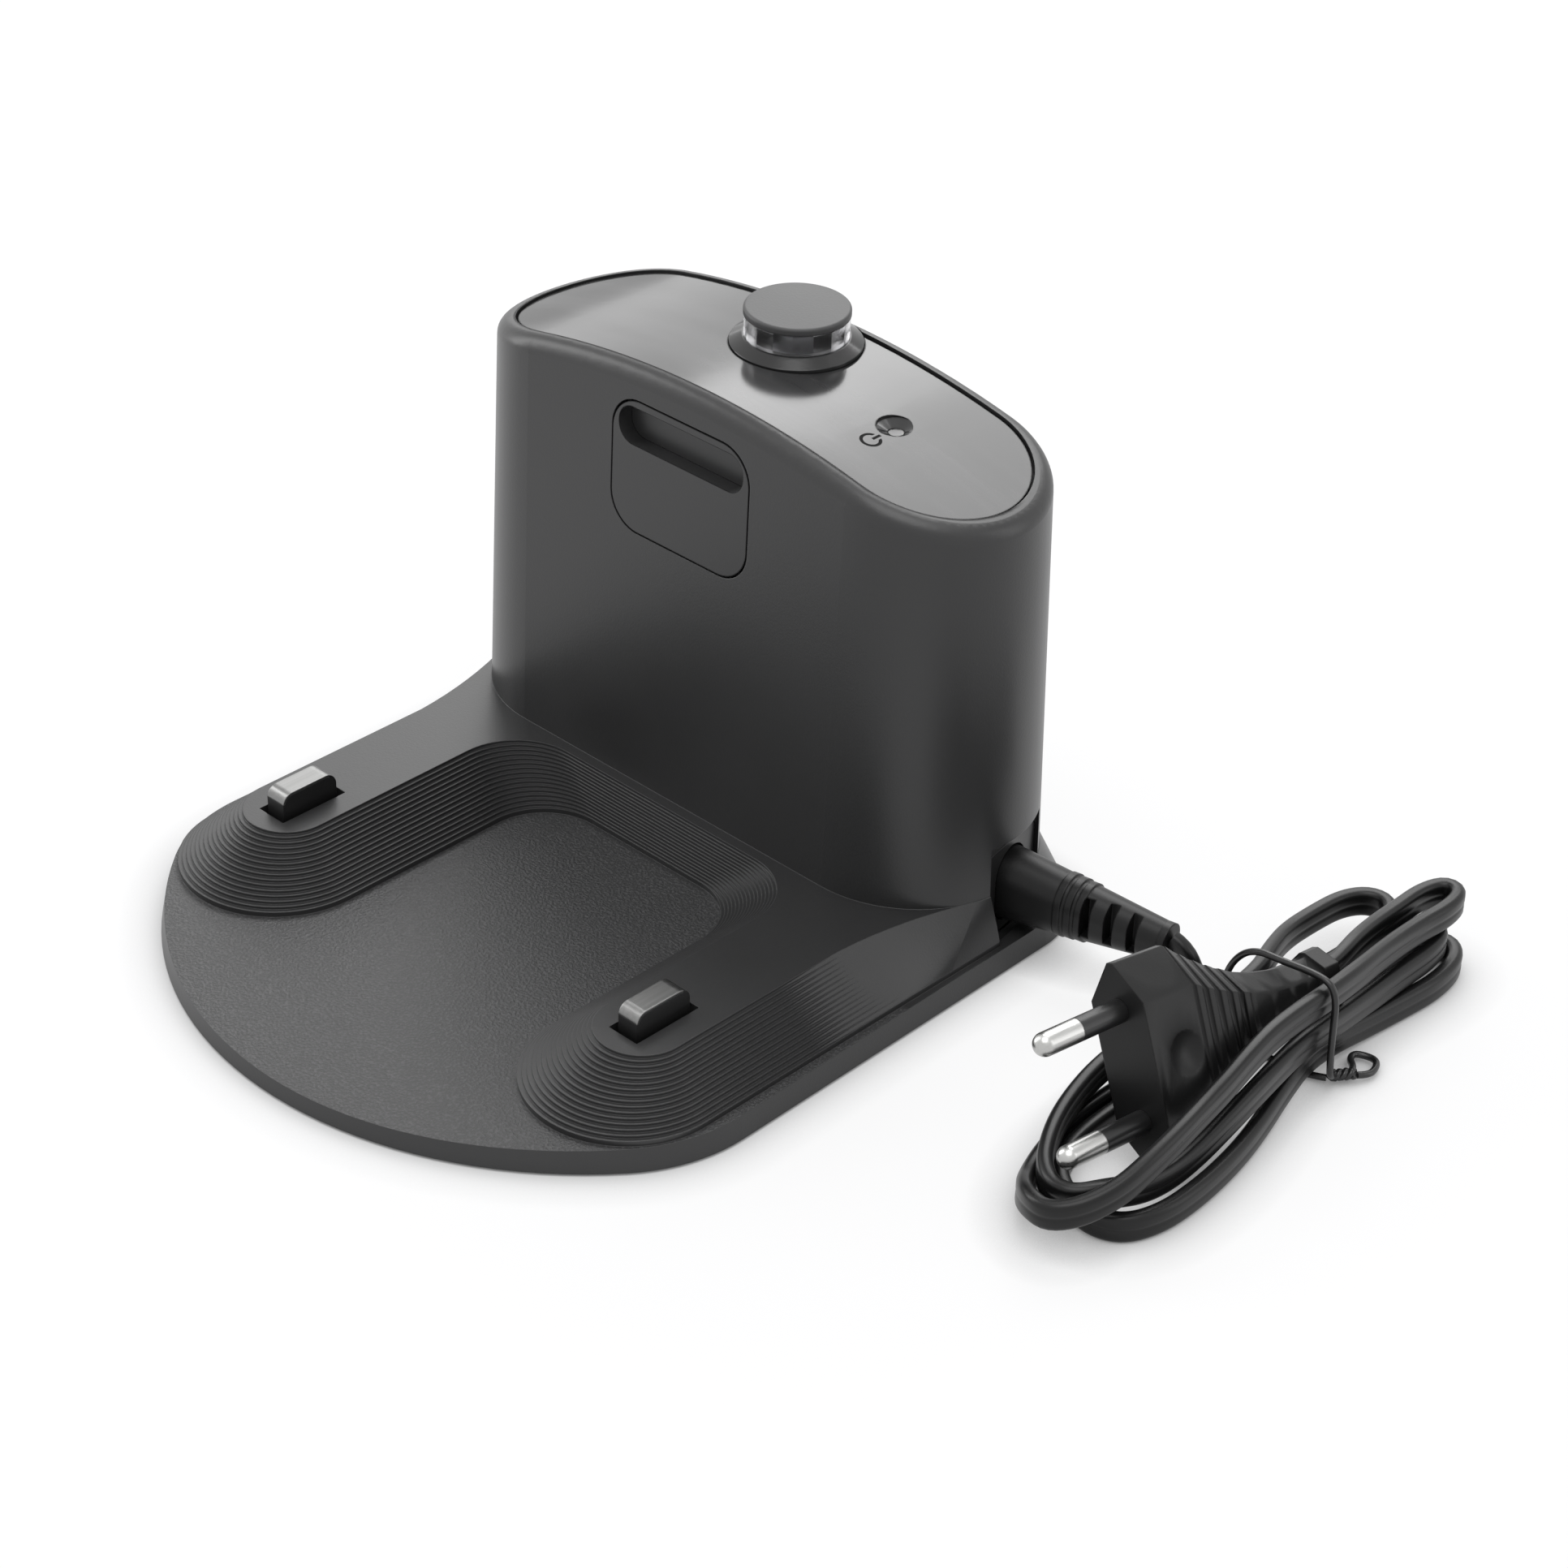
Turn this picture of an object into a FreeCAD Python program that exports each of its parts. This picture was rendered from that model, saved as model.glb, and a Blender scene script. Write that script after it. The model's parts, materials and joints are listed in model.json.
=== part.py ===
import FreeCAD, Part
import math
import os
from FreeCAD import Placement, Rotation, Vector

# Robot vacuum charging dock. Millimetres, +Z up, +X to the right, the open front towards -Y.
# The origin lies on the floor, under the middle of the base plate.

# Base plate
FOOT_PROUD = 0.5
PLATE_DEPTH = 139.5
PLATE_FRONT_HALF = 64.94
PLATE_BACK_HALF = 62.98
PLATE_FRONT_RADIUS = 74.0
PLATE_CORNER_RADIUS = 30.0
PLATE_BACK_RADIUS = 17.0
PLATE_HEIGHT = 4.2
PLATE_LIP_HEIGHT = 2.8
PLATE_DRAFT = 0.8
RAMP_LENGTH = 30.5

# Ribbed deck: a U round the wheel bay, from its foot on the plate to its flat top
DECK_HEIGHT = 13.6
DECK_STEP = 1.0
RIB_COUNT = 15
FOOT_INNER = 25.6
FOOT_OUTER = 61.6
FOOT_NOSE_Y = -28.7
FOOT_BAY_Y = 17.9
FOOT_BAY_RADIUS = 12.0
TOP_INNER = 36.0
TOP_OUTER = 52.2
TOP_NOSE_Y = -26.1
TOP_BAY_Y = 21.0
TOP_BAY_RADIUS = 12.5

# Smooth flank that grows out of the ribs and runs round the tower
FADE_START_Y = -6.0
FADE_DEPTH = 0.75
FLARE_START_Y = 5.8
FLARE_DEPTH = 0.2
FLARE_ANGLE = 17.0
FLARE_FOOT_AHEAD = 15.67
FLANK_SKIN = 0.12
FLANK_BACK_GAP = 1.05
FLANK_BACK_RADIUS = 15.5

# Tower
TOWER_BACK_GAP = 24.08
TOWER_CENTRE_X = 37.1
TOWER_RADIUS = 22.49
TOWER_DRAFT = 0.029
TOWER_TOP = 93.4
ARCH_RADIUS = 181.0
RIM_RADIUS = 3.1

# Walls and cavities
WALL = 2.4
DECK_WALL = 2.2
SKIRT_WALL = 2.0
COVER_THICKNESS = 1.6
FIT_GAP = 0.2
SMALL_CORNER = 0.5

# Top panel and status light
PANEL_RADIUS = 16.76
PANEL_SINK = 0.44
PANEL_THICKNESS = 1.6
PANEL_GROOVE = 0.45
CUT_RUN = 17.0
RECESS_FLOOR = 2.2
DISH_X = 29.5
DISH_RADIUS = 3.4
DISH_DEPTH = 1.0
PIPE_RADIUS = 1.3
PIPE_GAP = 0.1

# Beacon on the top panel
BEACON_BEHIND = 7.01
COLLAR_RADIUS = 11.5
COLLAR_TOP_RADIUS = 9.3
COLLAR_RISE = 1.54
COLLAR_LIP = 0.3
COLLAR_SEAT = 0.4
LENS_RADIUS = 8.8
LENS_WALL = 1.8
LENS_HEIGHT = 3.92
LENS_SPIGOT = 1.2
LENS_SPIGOT_DEPTH = 1.6
CAP_RADIUS = 9.2
CAP_THICKNESS = 1.24
CAP_EDGE = 0.5
CAP_SPIGOT = 1.0
EMITTER_RADIUS = 2.5
EMITTER_STAND_RADIUS = 4.2
EMITTER_DROP = 1.2

# Emitter window in the tower's front wall
WINDOW_HALF = 16.0
WINDOW_BOTTOM = 62.8
WINDOW_TOP = 87.3
WINDOW_CORNER = 6.5
WINDOW_GROOVE = 0.3
WINDOW_FLANGE = 0.8
WINDOW_FLANGE_THICKNESS = 1.2
POCKET_HALF = 14.6
POCKET_BOTTOM = 79.0
POCKET_TOP = 86.0
POCKET_DEPTH = 3.0
POCKET_WALL = 1.2

# Sprung charging contacts
CONTACT_X = 43.95
CONTACT_Y = -23.17
CONTACT_WIDTH = 4.3
CONTACT_LENGTH = 11.95
CONTACT_PROUD = 4.45
CONTACT_GAP = 1.05
CONTACT_FRONT_RADIUS = 2.0
CONTACT_BACK_RADIUS = 2.5
CONTACT_FLANGE = 0.6
CONTACT_FLANGE_THICKNESS = 1.5
STRIP_THICKNESS = 0.5
STRIP_BACK = 1.5
STRIP_DROP = 1.85
SPRING_RADIUS = 2.4
SPRING_WIRE = 0.6
SPRING_TURNS = 4
SPRING_ARCS = 8
SPRING_GAP = 0.1
TERMINAL_SIDE = 8.5
TERMINAL_THICKNESS = 0.8
TERMINAL_STUD_RADIUS = 1.5
TERMINAL_STUD_HEIGHT = 1.2
LEAD_RADIUS = 0.7
LEAD_RUN = 6.0
LEAD_CROSSING = 8.0
LEAD_SLANT = 0.8

# Boards and the power supply inside the tower
BOARD_THICKNESS = 1.6
LIGHT_BOARD_TOP = 79.5
LIGHT_BOARD_LENGTH = 88.0
LIGHT_BOARD_DEPTH = 26.0
WINDOW_LED_RADIUS = 2.5
WINDOW_LED_LENGTH = 6.0
WINDOW_LED_PITCH = 9.0
STATUS_LED_SIDE = 3.0
STATUS_LED_HEIGHT = 1.8
MAIN_BOARD_BOTTOM = 8.0
MAIN_BOARD_LEFT = -46.0
MAIN_BOARD_RIGHT = 34.0
MAIN_BOARD_AHEAD = 14.67
MAIN_BOARD_DEPTH = 27.5
BOARD_POST_INSET = 5.0
POST_RADIUS = 3.0
TRANSFORMER_X = -18.0
TRANSFORMER_CORE = 24.0
TRANSFORMER_DEPTH = 10.0
TRANSFORMER_HEIGHT = 20.0
TRANSFORMER_WINDING = 8.5
INPUT_CAP_X = 14.0
INPUT_CAP_RADIUS = 6.5
INPUT_CAP_HEIGHT = 18.0
OUTPUT_CAP_X = 30.0
OUTPUT_CAP_RADIUS = 4.0
OUTPUT_CAP_HEIGHT = 12.0

# Screws, all of one size, and what they go into
SCREW_RADIUS = 1.4
SCREW_LENGTH = 8.0
SCREW_HEAD_RADIUS = 2.6
SCREW_HEAD_HEIGHT = 1.2
SCREW_GAP = 0.1
BOSS_RADIUS = 3.4
ARM_BOSS_Y = 4.0
TOWER_BOSS_X = 25.0
TOWER_BOSS_WALL = 2.3
TOWER_BOSS_TOP = 22.0

# Rubber feet
FOOT_RADIUS = 6.0
FOOT_SINK = 0.8
FRONT_FOOT_X = 43.6
FRONT_FOOT_GAP = 31.75
BACK_FOOT_X = 45.0
BACK_FOOT_GAP = 13.75

# Mains inlet in the tower's right end, turned a little towards the back
INLET_TURN = 10.5
INLET_FLAT = 20.2
INLET_HEIGHT = 12.0
INLET_WIDTH = 15.4
INLET_TALL = 17.6
INLET_DEPTH = 15.0
INLET_CORNER = 1.5
INLET_NOTCH_TOP = 23.0
INLET_PIN_RADIUS = 1.2
INLET_PIN_PITCH = 8.6
INLET_PIN_LENGTH = 9.0
INLET_BACK_WALL = 3.0

# Lead connector that sits in the inlet
CONNECTOR_WIDTH = 9.0
CONNECTOR_TALL = 14.0
CONNECTOR_GAP = 0.35
CONNECTOR_NOSE = 10.5
CONNECTOR_GRIP = 11.1
CONNECTOR_WAIST_TALL = 11.4
CONNECTOR_END_WIDTH = 6.0
CONNECTOR_END_TALL = 7.0
CONNECTOR_LENGTH = 31.5
RING_COUNT = 3
RING_PITCH = 1.95
RING_WIDTH = 1.3
RING_PROUD = 0.35
RELIEF_SLOTS = 3
RELIEF_SLOT_FIRST = 17.0
RELIEF_SLOT_PITCH = 4.3
RELIEF_SLOT_WIDTH = 1.7
RELIEF_SLOT_CORE = 0.9

# Mains plug, lying against the hank with its pins to the front
PLUG_PLACE = Vector(109.6, 17.6, 18.5)
PLUG_LEAN = -26.8
PLUG_PITCH = -6.0
PLUG_YAW = -3.5
PLUG_WIDTH = 34.1
PLUG_THICKNESS = 11.4
PLUG_BEVEL = 6.4
PLUG_END_FLAT = 1.2
PLUG_BODY = 11.5
PLUG_BODY_TAPER = 0.6
PLUG_NECK = 28.5
PLUG_NECK_STEPS = 6
PLUG_TAIL = 7.0
PLUG_TAIL_WIDTH = 9.5
PLUG_TAIL_THICKNESS = 7.5
PLUG_RIBS = 5
PLUG_RIB_WIDTH = 1.3
PLUG_RIB_PITCH = 2.75
PLUG_RIB_PROUD = 0.4
PLUG_DIMPLE_RADIUS = 3.7
PLUG_DIMPLE_DEPTH = 1.0
PLUG_DIMPLE_BACK = 7.6
PIN_PITCH = 18.4
PIN_RADIUS = 2.0
PIN_LENGTH = 19.0
SLEEVE_LENGTH = 10.0
SLEEVE_THICKNESS = 0.45

# Flat lead, its hank on the floor and the wire tie round it
CORD_RADIUS = 1.9
CORD_EXIT = 4.5
CORD_RUN = 8.0
BEND_SHARE = 0.45
LEAD_TURNS = [
    Vector(97.4, 57.3, 10.6),
    Vector(101.3, 59.8, 6.9),
    Vector(104.4, 64.2, 4.2),
    Vector(105.2, 69.9, 3.2),
    Vector(104.0, 75.6, 3.2),
]
HANK_FLOOR = 0.3
HANK_PLACES = [
    Vector(112.0, -11.0, HANK_FLOOR),
    Vector(128.0, 6.0, HANK_FLOOR),
    Vector(120.5, 48.0, HANK_FLOOR),
    Vector(120.0, 66.0, HANK_FLOOR),
    Vector(122.5, 92.0, HANK_FLOOR),
    Vector(108.0, 112.0, HANK_FLOOR),
    Vector(92.0, 96.0, HANK_FLOOR),
    Vector(101.0, 66.0, HANK_FLOOR),
    Vector(101.0, 48.0, HANK_FLOOR),
    Vector(97.0, 12.0, HANK_FLOOR),
]
HANK_FRONT_HEIGHT = 9.5
HANK_WAIST_HEIGHT = 13.7
HANK_BACK_HEIGHT = 9.0
HANK_BAY_WIDTH = 18.2
HANK_BAY_LENGTH = 58.0
HANK_BAY_RADIUS = 6.0
HANK_BAY_X = 112.0
HANK_BAY_Y = 27.0
PLUG_ROOM = 1.0
TAIL_ROOM = 7.1
TAIL_ROOM_LENGTH = 40.0
TIE_RADIUS = 0.8
TIE_Y = 55.0
TIE_LEFT = 99.8
TIE_RIGHT = 122.3
TIE_BOTTOM = 1.3
TIE_TOP = 20.6
TIE_CORNER = 7.0
TIE_FOOT_CORNER = 2.0
TIE_TAIL_LENGTH = 7.0
TIE_TAIL_HEIGHT = 6.5
TIE_TAIL_RADIUS = 0.95
TIE_TAIL_TURN = 0.35

# Levels that follow from the sizes above
PLATE_FRONT_Y = -PLATE_DEPTH / 2
PLATE_BACK_Y = PLATE_DEPTH / 2
FRONT_FOOT_Y = PLATE_FRONT_Y + FRONT_FOOT_GAP
BACK_FOOT_Y = PLATE_BACK_Y - BACK_FOOT_GAP
TOWER_Y = PLATE_BACK_Y - TOWER_BACK_GAP
FLARE_FOOT_Y = TOWER_Y - FLARE_FOOT_AHEAD
BEACON_Y = TOWER_Y + BEACON_BEHIND
LIGHT_BOARD_FRONT = TOWER_Y - LIGHT_BOARD_DEPTH / 2
MAIN_BOARD_FRONT = TOWER_Y - MAIN_BOARD_AHEAD
MAIN_BOARD_BACK = MAIN_BOARD_FRONT + MAIN_BOARD_DEPTH
PLATE_TOP = FOOT_PROUD + PLATE_HEIGHT
RIB_FOOT = PLATE_TOP + DECK_STEP
DECK_TOP = FOOT_PROUD + DECK_HEIGHT
COVER_TOP = FOOT_PROUD + COVER_THICKNESS
CROWN = FOOT_PROUD + TOWER_TOP
PANEL_CROWN = CROWN - PANEL_SINK
COLLAR_TOP = PANEL_CROWN + COLLAR_RISE
LENS_TOP = COLLAR_TOP + LENS_HEIGHT
CAP_TOP = LENS_TOP + CAP_THICKNESS
FLOOR_CROWN = PANEL_CROWN - PANEL_THICKNESS
CAVITY_CROWN = FLOOR_CROWN - RECESS_FLOOR
COLLAR_BOTTOM = FLOOR_CROWN - COLLAR_SEAT
DECK_CEILING = DECK_TOP - DECK_WALL
MAIN_BOARD_TOP = FOOT_PROUD + MAIN_BOARD_BOTTOM + BOARD_THICKNESS
LIGHT_TOP = FOOT_PROUD + LIGHT_BOARD_TOP
SCREW_HOLE = SCREW_RADIUS + SCREW_GAP
PIPE_HOLE = PIPE_RADIUS + PIPE_GAP
UP = Vector(0, 0, 1)
SIDES = (("left", -1), ("right", 1))


# Small drawing helpers
def mix(low, high, share):
    return low + (high - low) * share


def segment(start, end):
    return Part.LineSegment(start, end).toShape()


def short_arc(centre, start, end):
    radius = (start - centre).Length
    middle = centre + ((start - centre) + (end - centre)).normalize() * radius
    return Part.Arc(start, middle, end).toShape()


def flip(point):
    return Vector(-point.x, point.y, point.z)


def prism(wire, height):
    return Part.Face(wire).extrude(UP * height)


def rounded_box(width, depth, height, radius, place=Vector()):
    box = Part.makeBox(width, depth, height, place - Vector(width / 2, depth / 2, 0))
    upright = [edge for edge in box.Edges if abs(edge.tangentAt(edge.FirstParameter).z) > 0.9]
    return box.makeFillet(radius, upright)


def disc(radius, height, x, y, z):
    return Part.makeCylinder(radius, height, Vector(x, y, z))


def merged(first, others):
    return first.fuse(list(others)).removeSplitter()


def save(shape, node):
    shape.exportStep("parts/" + node + ".step")
    print(node, "solids", len(shape.Solids), "volume", round(shape.Volume, 1), "valid", shape.isValid())


# Base plate outline, stepped inwards by an inset
def plate_outline(inset, z):
    front = Vector(PLATE_FRONT_HALF, PLATE_FRONT_Y, 0)
    back = Vector(PLATE_BACK_HALF, PLATE_BACK_Y, 0)
    along = (back - front).normalize()
    inward = Vector(-along.y, along.x, 0)
    side = front + inward * inset
    arc_centre = Vector(0, PLATE_FRONT_Y + PLATE_FRONT_RADIUS, 0)
    arc_radius = PLATE_FRONT_RADIUS - inset
    corner_radius = PLATE_CORNER_RADIUS - inset
    start = side + inward * corner_radius
    reach = (start - arc_centre).dot(along)
    spare = (start - arc_centre).dot(start - arc_centre) - (arc_radius - corner_radius) ** 2
    corner = start + along * (-reach - math.sqrt(reach * reach - spare))
    back_radius = PLATE_BACK_RADIUS - inset
    back_start = side + inward * back_radius
    back_corner = back_start + along * ((PLATE_BACK_Y - inset - back_radius - back_start.y) / along.y)
    points = [
        arc_centre + (corner - arc_centre) * (arc_radius / (arc_radius - corner_radius)),
        corner - inward * corner_radius,
        back_corner - inward * back_radius,
        back_corner + Vector(0, back_radius, 0),
    ]
    lift = Vector(0, 0, z)
    right = [point + lift for point in points]
    left = [flip(point) for point in right]
    nose = Vector(0, PLATE_FRONT_Y + inset, z)
    edges = [
        Part.Arc(left[0], nose, right[0]).toShape(),
        short_arc(corner + lift, right[0], right[1]),
        segment(right[1], right[2]),
        short_arc(back_corner + lift, right[2], right[3]),
        segment(right[3], left[3]),
        short_arc(flip(back_corner) + lift, left[3], left[2]),
        segment(left[2], left[1]),
        short_arc(flip(corner) + lift, left[1], left[0]),
    ]
    return Part.Wire(edges)


def base_plate():
    sheet = Part.makeLoft([plate_outline(0, FOOT_PROUD), plate_outline(PLATE_DRAFT, PLATE_TOP)], True, True)
    drop = PLATE_HEIGHT - PLATE_LIP_HEIGHT
    ramp_radius = (RAMP_LENGTH ** 2 + drop ** 2) / (2 * drop)
    reach = PLATE_FRONT_HALF
    low = Vector(-reach, PLATE_FRONT_Y, PLATE_TOP - drop)
    high = Vector(-reach, PLATE_FRONT_Y + RAMP_LENGTH, PLATE_TOP)
    turn = math.asin(RAMP_LENGTH / ramp_radius) / 2
    middle = high + Vector(0, -ramp_radius * math.sin(turn), -ramp_radius * (1 - math.cos(turn)))
    above = Vector(-reach, PLATE_FRONT_Y, PLATE_TOP + drop)
    crest = Vector(-reach, PLATE_FRONT_Y + RAMP_LENGTH, PLATE_TOP + drop)
    edges = [
        Part.Arc(low, middle, high).toShape(),
        segment(high, crest),
        segment(crest, above),
        segment(above, low),
    ]
    ramp = Part.Face(Part.Wire(edges)).extrude(Vector(2 * reach, 0, 0))
    return sheet.cut(ramp)


# Ribbed U of the deck: one outline that closes in from the foot to the top
def deck_outline(share, z):
    inner = mix(FOOT_INNER, TOP_INNER, share)
    outer = mix(FOOT_OUTER, TOP_OUTER, share)
    nose_y = mix(FOOT_NOSE_Y, TOP_NOSE_Y, share)
    bay_y = mix(FOOT_BAY_Y, TOP_BAY_Y, share)
    bay_radius = mix(FOOT_BAY_RADIUS, TOP_BAY_RADIUS, share)
    nose = Vector((inner + outer) / 2, nose_y - (outer - inner) / 2, z)
    corner = Vector(inner - bay_radius, bay_y - bay_radius, z)
    right = [
        Vector(outer, TOWER_Y, z),
        Vector(outer, nose_y, z),
        Vector(inner, nose_y, z),
        Vector(inner, bay_y - bay_radius, z),
        Vector(inner - bay_radius, bay_y, z),
    ]
    left = [flip(point) for point in right]
    edges = [
        segment(right[0], right[1]),
        Part.Arc(right[1], nose, right[2]).toShape(),
        segment(right[2], right[3]),
        short_arc(corner, right[3], right[4]),
        segment(right[4], left[4]),
        short_arc(flip(corner), left[4], left[3]),
        segment(left[3], left[2]),
        Part.Arc(left[2], flip(nose), left[1]).toShape(),
        segment(left[1], left[0]),
        segment(left[0], right[0]),
    ]
    return Part.Wire(edges)


def ribbed_deck():
    rise = (DECK_TOP - RIB_FOOT) / RIB_COUNT
    bottom = FOOT_PROUD + PLATE_LIP_HEIGHT
    steps = [prism(deck_outline(0, bottom), RIB_FOOT - bottom)]
    for rib in range(1, RIB_COUNT + 1):
        level = RIB_FOOT + (rib - 1) * rise
        steps.append(prism(deck_outline(rib / RIB_COUNT, level), rise))
    return merged(steps[0], steps[1:])


def tower_radius(z):
    return TOWER_RADIUS - TOWER_DRAFT * (z - DECK_TOP)


def flank_point(angle):
    turn = math.radians(angle)
    radius = TOWER_RADIUS + FLANK_SKIN
    return Vector(TOWER_CENTRE_X + radius * math.cos(turn), TOWER_Y + radius * math.sin(turn), DECK_TOP)


def smooth_flank(side):
    root_x = (TOP_INNER + TOP_OUTER) / 2
    root = Vector(root_x, FADE_START_Y, 0)
    knee = Vector(root_x, TOWER_Y - TOWER_RADIUS / 2, 0)
    back_x = TOWER_CENTRE_X / 2
    foot_back = PLATE_BACK_Y - FLANK_BACK_GAP
    foot_x = FOOT_OUTER
    foot = [
        Vector(foot_x - FADE_DEPTH, FADE_START_Y, RIB_FOOT),
        Vector(foot_x - FLARE_DEPTH, FLARE_START_Y, RIB_FOOT),
        Vector(foot_x, FLARE_FOOT_Y, RIB_FOOT),
        Vector(foot_x, foot_back - FLANK_BACK_RADIUS, RIB_FOOT),
        Vector(foot_x - FLANK_BACK_RADIUS, foot_back, RIB_FOOT),
        Vector(back_x, foot_back, RIB_FOOT),
    ]
    foot_corner = Vector(foot_x - FLANK_BACK_RADIUS, foot_back - FLANK_BACK_RADIUS, RIB_FOOT)
    flare = Vector(TOP_OUTER - FLARE_DEPTH, FLARE_START_Y, DECK_TOP)
    landing = flank_point(-FLARE_ANGLE)
    run = landing - flare
    flare_radius = run.dot(run) / (2 * run.x)
    flare_turn = math.asin(run.y / flare_radius) / 2
    flare_middle = flare + Vector(1 - math.cos(flare_turn), math.sin(flare_turn), 0) * flare_radius
    tower_end = Vector(TOWER_CENTRE_X, TOWER_Y, DECK_TOP)
    top_back = flank_point(90)
    top = [
        Vector(TOP_OUTER - FADE_DEPTH, FADE_START_Y, DECK_TOP),
        flare,
        landing,
        flank_point(0),
        top_back,
        Vector(back_x, top_back.y, DECK_TOP),
    ]
    wires = []
    for points, z in ((foot, RIB_FOOT), (top, DECK_TOP)):
        lift = Vector(0, 0, z)
        at_foot = z == RIB_FOOT
        bend = segment(points[1], points[2]) if at_foot else Part.Arc(flare, flare_middle, landing).toShape()
        wall = segment(points[2], points[3]) if at_foot else short_arc(tower_end, landing, points[3])
        turn = short_arc(foot_corner if at_foot else tower_end, points[3], points[4])
        edges = [
            segment(root + lift, points[0]),
            segment(points[0], points[1]),
            bend,
            wall,
            turn,
            segment(points[4], points[5]),
            segment(points[5], knee + lift),
            segment(knee + lift, root + lift),
        ]
        wires.append(Part.Wire(edges))
    slope = Part.makeLoft(wires, True, True)
    skirt = Part.Face(wires[0]).extrude(UP * -(RIB_FOOT - FOOT_PROUD - PLATE_LIP_HEIGHT))
    flank = merged(slope, [skirt])
    return flank if side > 0 else flank.mirror(Vector(), Vector(1, 0, 0))


# Tower: a drafted stadium under an arched top
def stadium(centre_x, radius, z, y=TOWER_Y):
    right_low = Vector(centre_x, y - radius, z)
    right_high = Vector(centre_x, y + radius, z)
    edges = [
        segment(flip(right_low), right_low),
        Part.Arc(right_low, Vector(centre_x + radius, y, z), right_high).toShape(),
        segment(right_high, flip(right_high)),
        Part.Arc(flip(right_high), Vector(-centre_x - radius, y, z), flip(right_low)).toShape(),
    ]
    return Part.Wire(edges)


def under_arch(crown, bottom):
    reach = PLATE_FRONT_HALF
    fall = ARCH_RADIUS - math.sqrt(ARCH_RADIUS ** 2 - reach ** 2)
    left = Vector(-reach, PLATE_FRONT_Y, crown - fall)
    low = Vector(-reach, PLATE_FRONT_Y, bottom)
    edges = [
        Part.Arc(left, Vector(0, PLATE_FRONT_Y, crown), flip(left)).toShape(),
        segment(flip(left), flip(low)),
        segment(flip(low), low),
        segment(low, left),
    ]
    return Part.Face(Part.Wire(edges)).extrude(Vector(0, PLATE_DEPTH, 0))


def drafted_stadium(inset, bottom, top):
    wires = [stadium(TOWER_CENTRE_X, tower_radius(z) - inset, z) for z in (bottom, top)]
    return Part.makeLoft(wires, True, True)


def tower_body():
    blank = drafted_stadium(0, PLATE_TOP - DECK_STEP, CROWN + 1)
    tower = blank.common(under_arch(CROWN, FOOT_PROUD))
    rim = [edge for edge in tower.Edges if edge.BoundBox.ZMin > LIGHT_TOP]
    return tower.makeFillet(RIM_RADIUS, rim)


def panel_slab(radius, crown, bottom):
    blank = prism(stadium(TOWER_CENTRE_X, radius, LIGHT_TOP), CROWN)
    return blank.common(under_arch(crown, FOOT_PROUD)).cut(under_arch(bottom, FOOT_PROUD))


# Frame of the emitter window: X across, Y up the drafted wall, Z out of it
def window_place():
    middle = FOOT_PROUD + (WINDOW_BOTTOM + WINDOW_TOP) / 2
    lean = math.degrees(math.atan(TOWER_DRAFT))
    return Placement(Vector(0, TOWER_Y - tower_radius(middle), middle), Rotation(Vector(1, 0, 0), 90 - lean))


def window_block(grow, back, front, corner):
    width = 2 * (WINDOW_HALF + grow)
    tall = WINDOW_TOP - WINDOW_BOTTOM + 2 * grow
    return rounded_box(width, tall, front - back, corner, Vector(0, 0, back))


def pocket_block(grow, back, front):
    tall = POCKET_TOP - POCKET_BOTTOM + 2 * grow
    middle = (POCKET_BOTTOM + POCKET_TOP) / 2 - (WINDOW_BOTTOM + WINDOW_TOP) / 2
    corner = tall / 2 - FIT_GAP
    return rounded_box(2 * (POCKET_HALF + grow), tall, front - back, corner, Vector(0, middle, back))


def emitter_window():
    plug = window_block(0, -WALL, 0, WINDOW_CORNER)
    flange = window_block(WINDOW_FLANGE, -WALL - WINDOW_FLANGE_THICKNESS, -WALL, WINDOW_CORNER)
    pocket = pocket_block(POCKET_WALL, -POCKET_DEPTH - POCKET_WALL, -WALL)
    window = merged(plug, [flange, pocket]).cut(pocket_block(0, -POCKET_DEPTH, 1))
    window.Placement = window_place()
    return window


# Frame of the mains inlet: X out of the wall, Y along it, Z up
def inlet_place():
    turn = math.radians(INLET_TURN)
    out = Vector(math.cos(turn), math.sin(turn), 0)
    centre = Vector(TOWER_CENTRE_X, TOWER_Y, FOOT_PROUD + INLET_HEIGHT)
    return Placement(centre + out * INLET_FLAT, Rotation(UP, INLET_TURN))


def upright_stadium(width, tall, x):
    radius = width / 2
    rise = tall / 2 - radius
    low = Vector(x, -radius, -rise)
    high = Vector(x, -radius, rise)
    other_low = Vector(x, radius, -rise)
    other_high = Vector(x, radius, rise)
    edges = [
        segment(low, high),
        Part.Arc(high, Vector(x, 0, tall / 2), other_high).toShape(),
        segment(other_high, other_low),
        Part.Arc(other_low, Vector(x, 0, -tall / 2), low).toShape(),
    ]
    return Part.Wire(edges)


def stadium_bar(width, tall, start, end):
    return Part.Face(upright_stadium(width, tall, start)).extrude(Vector(end - start, 0, 0))


def inlet_block(grow, start, end):
    width = INLET_WIDTH + 2 * grow
    tall = INLET_TALL + 2 * grow
    block = Part.makeBox(end - start, width, tall, Vector(start, -width / 2, -tall / 2))
    along = [edge for edge in block.Edges if abs(edge.tangentAt(edge.FirstParameter).x) > 0.9]
    return block.makeFillet(INLET_CORNER, along)


def inlet_notch():
    bottom = PLATE_HEIGHT - INLET_HEIGHT
    tall = INLET_NOTCH_TOP - PLATE_HEIGHT
    width = INLET_WIDTH + 2 * FIT_GAP
    return Part.makeBox(TOWER_RADIUS, width, tall, Vector(0, -width / 2, bottom))


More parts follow.
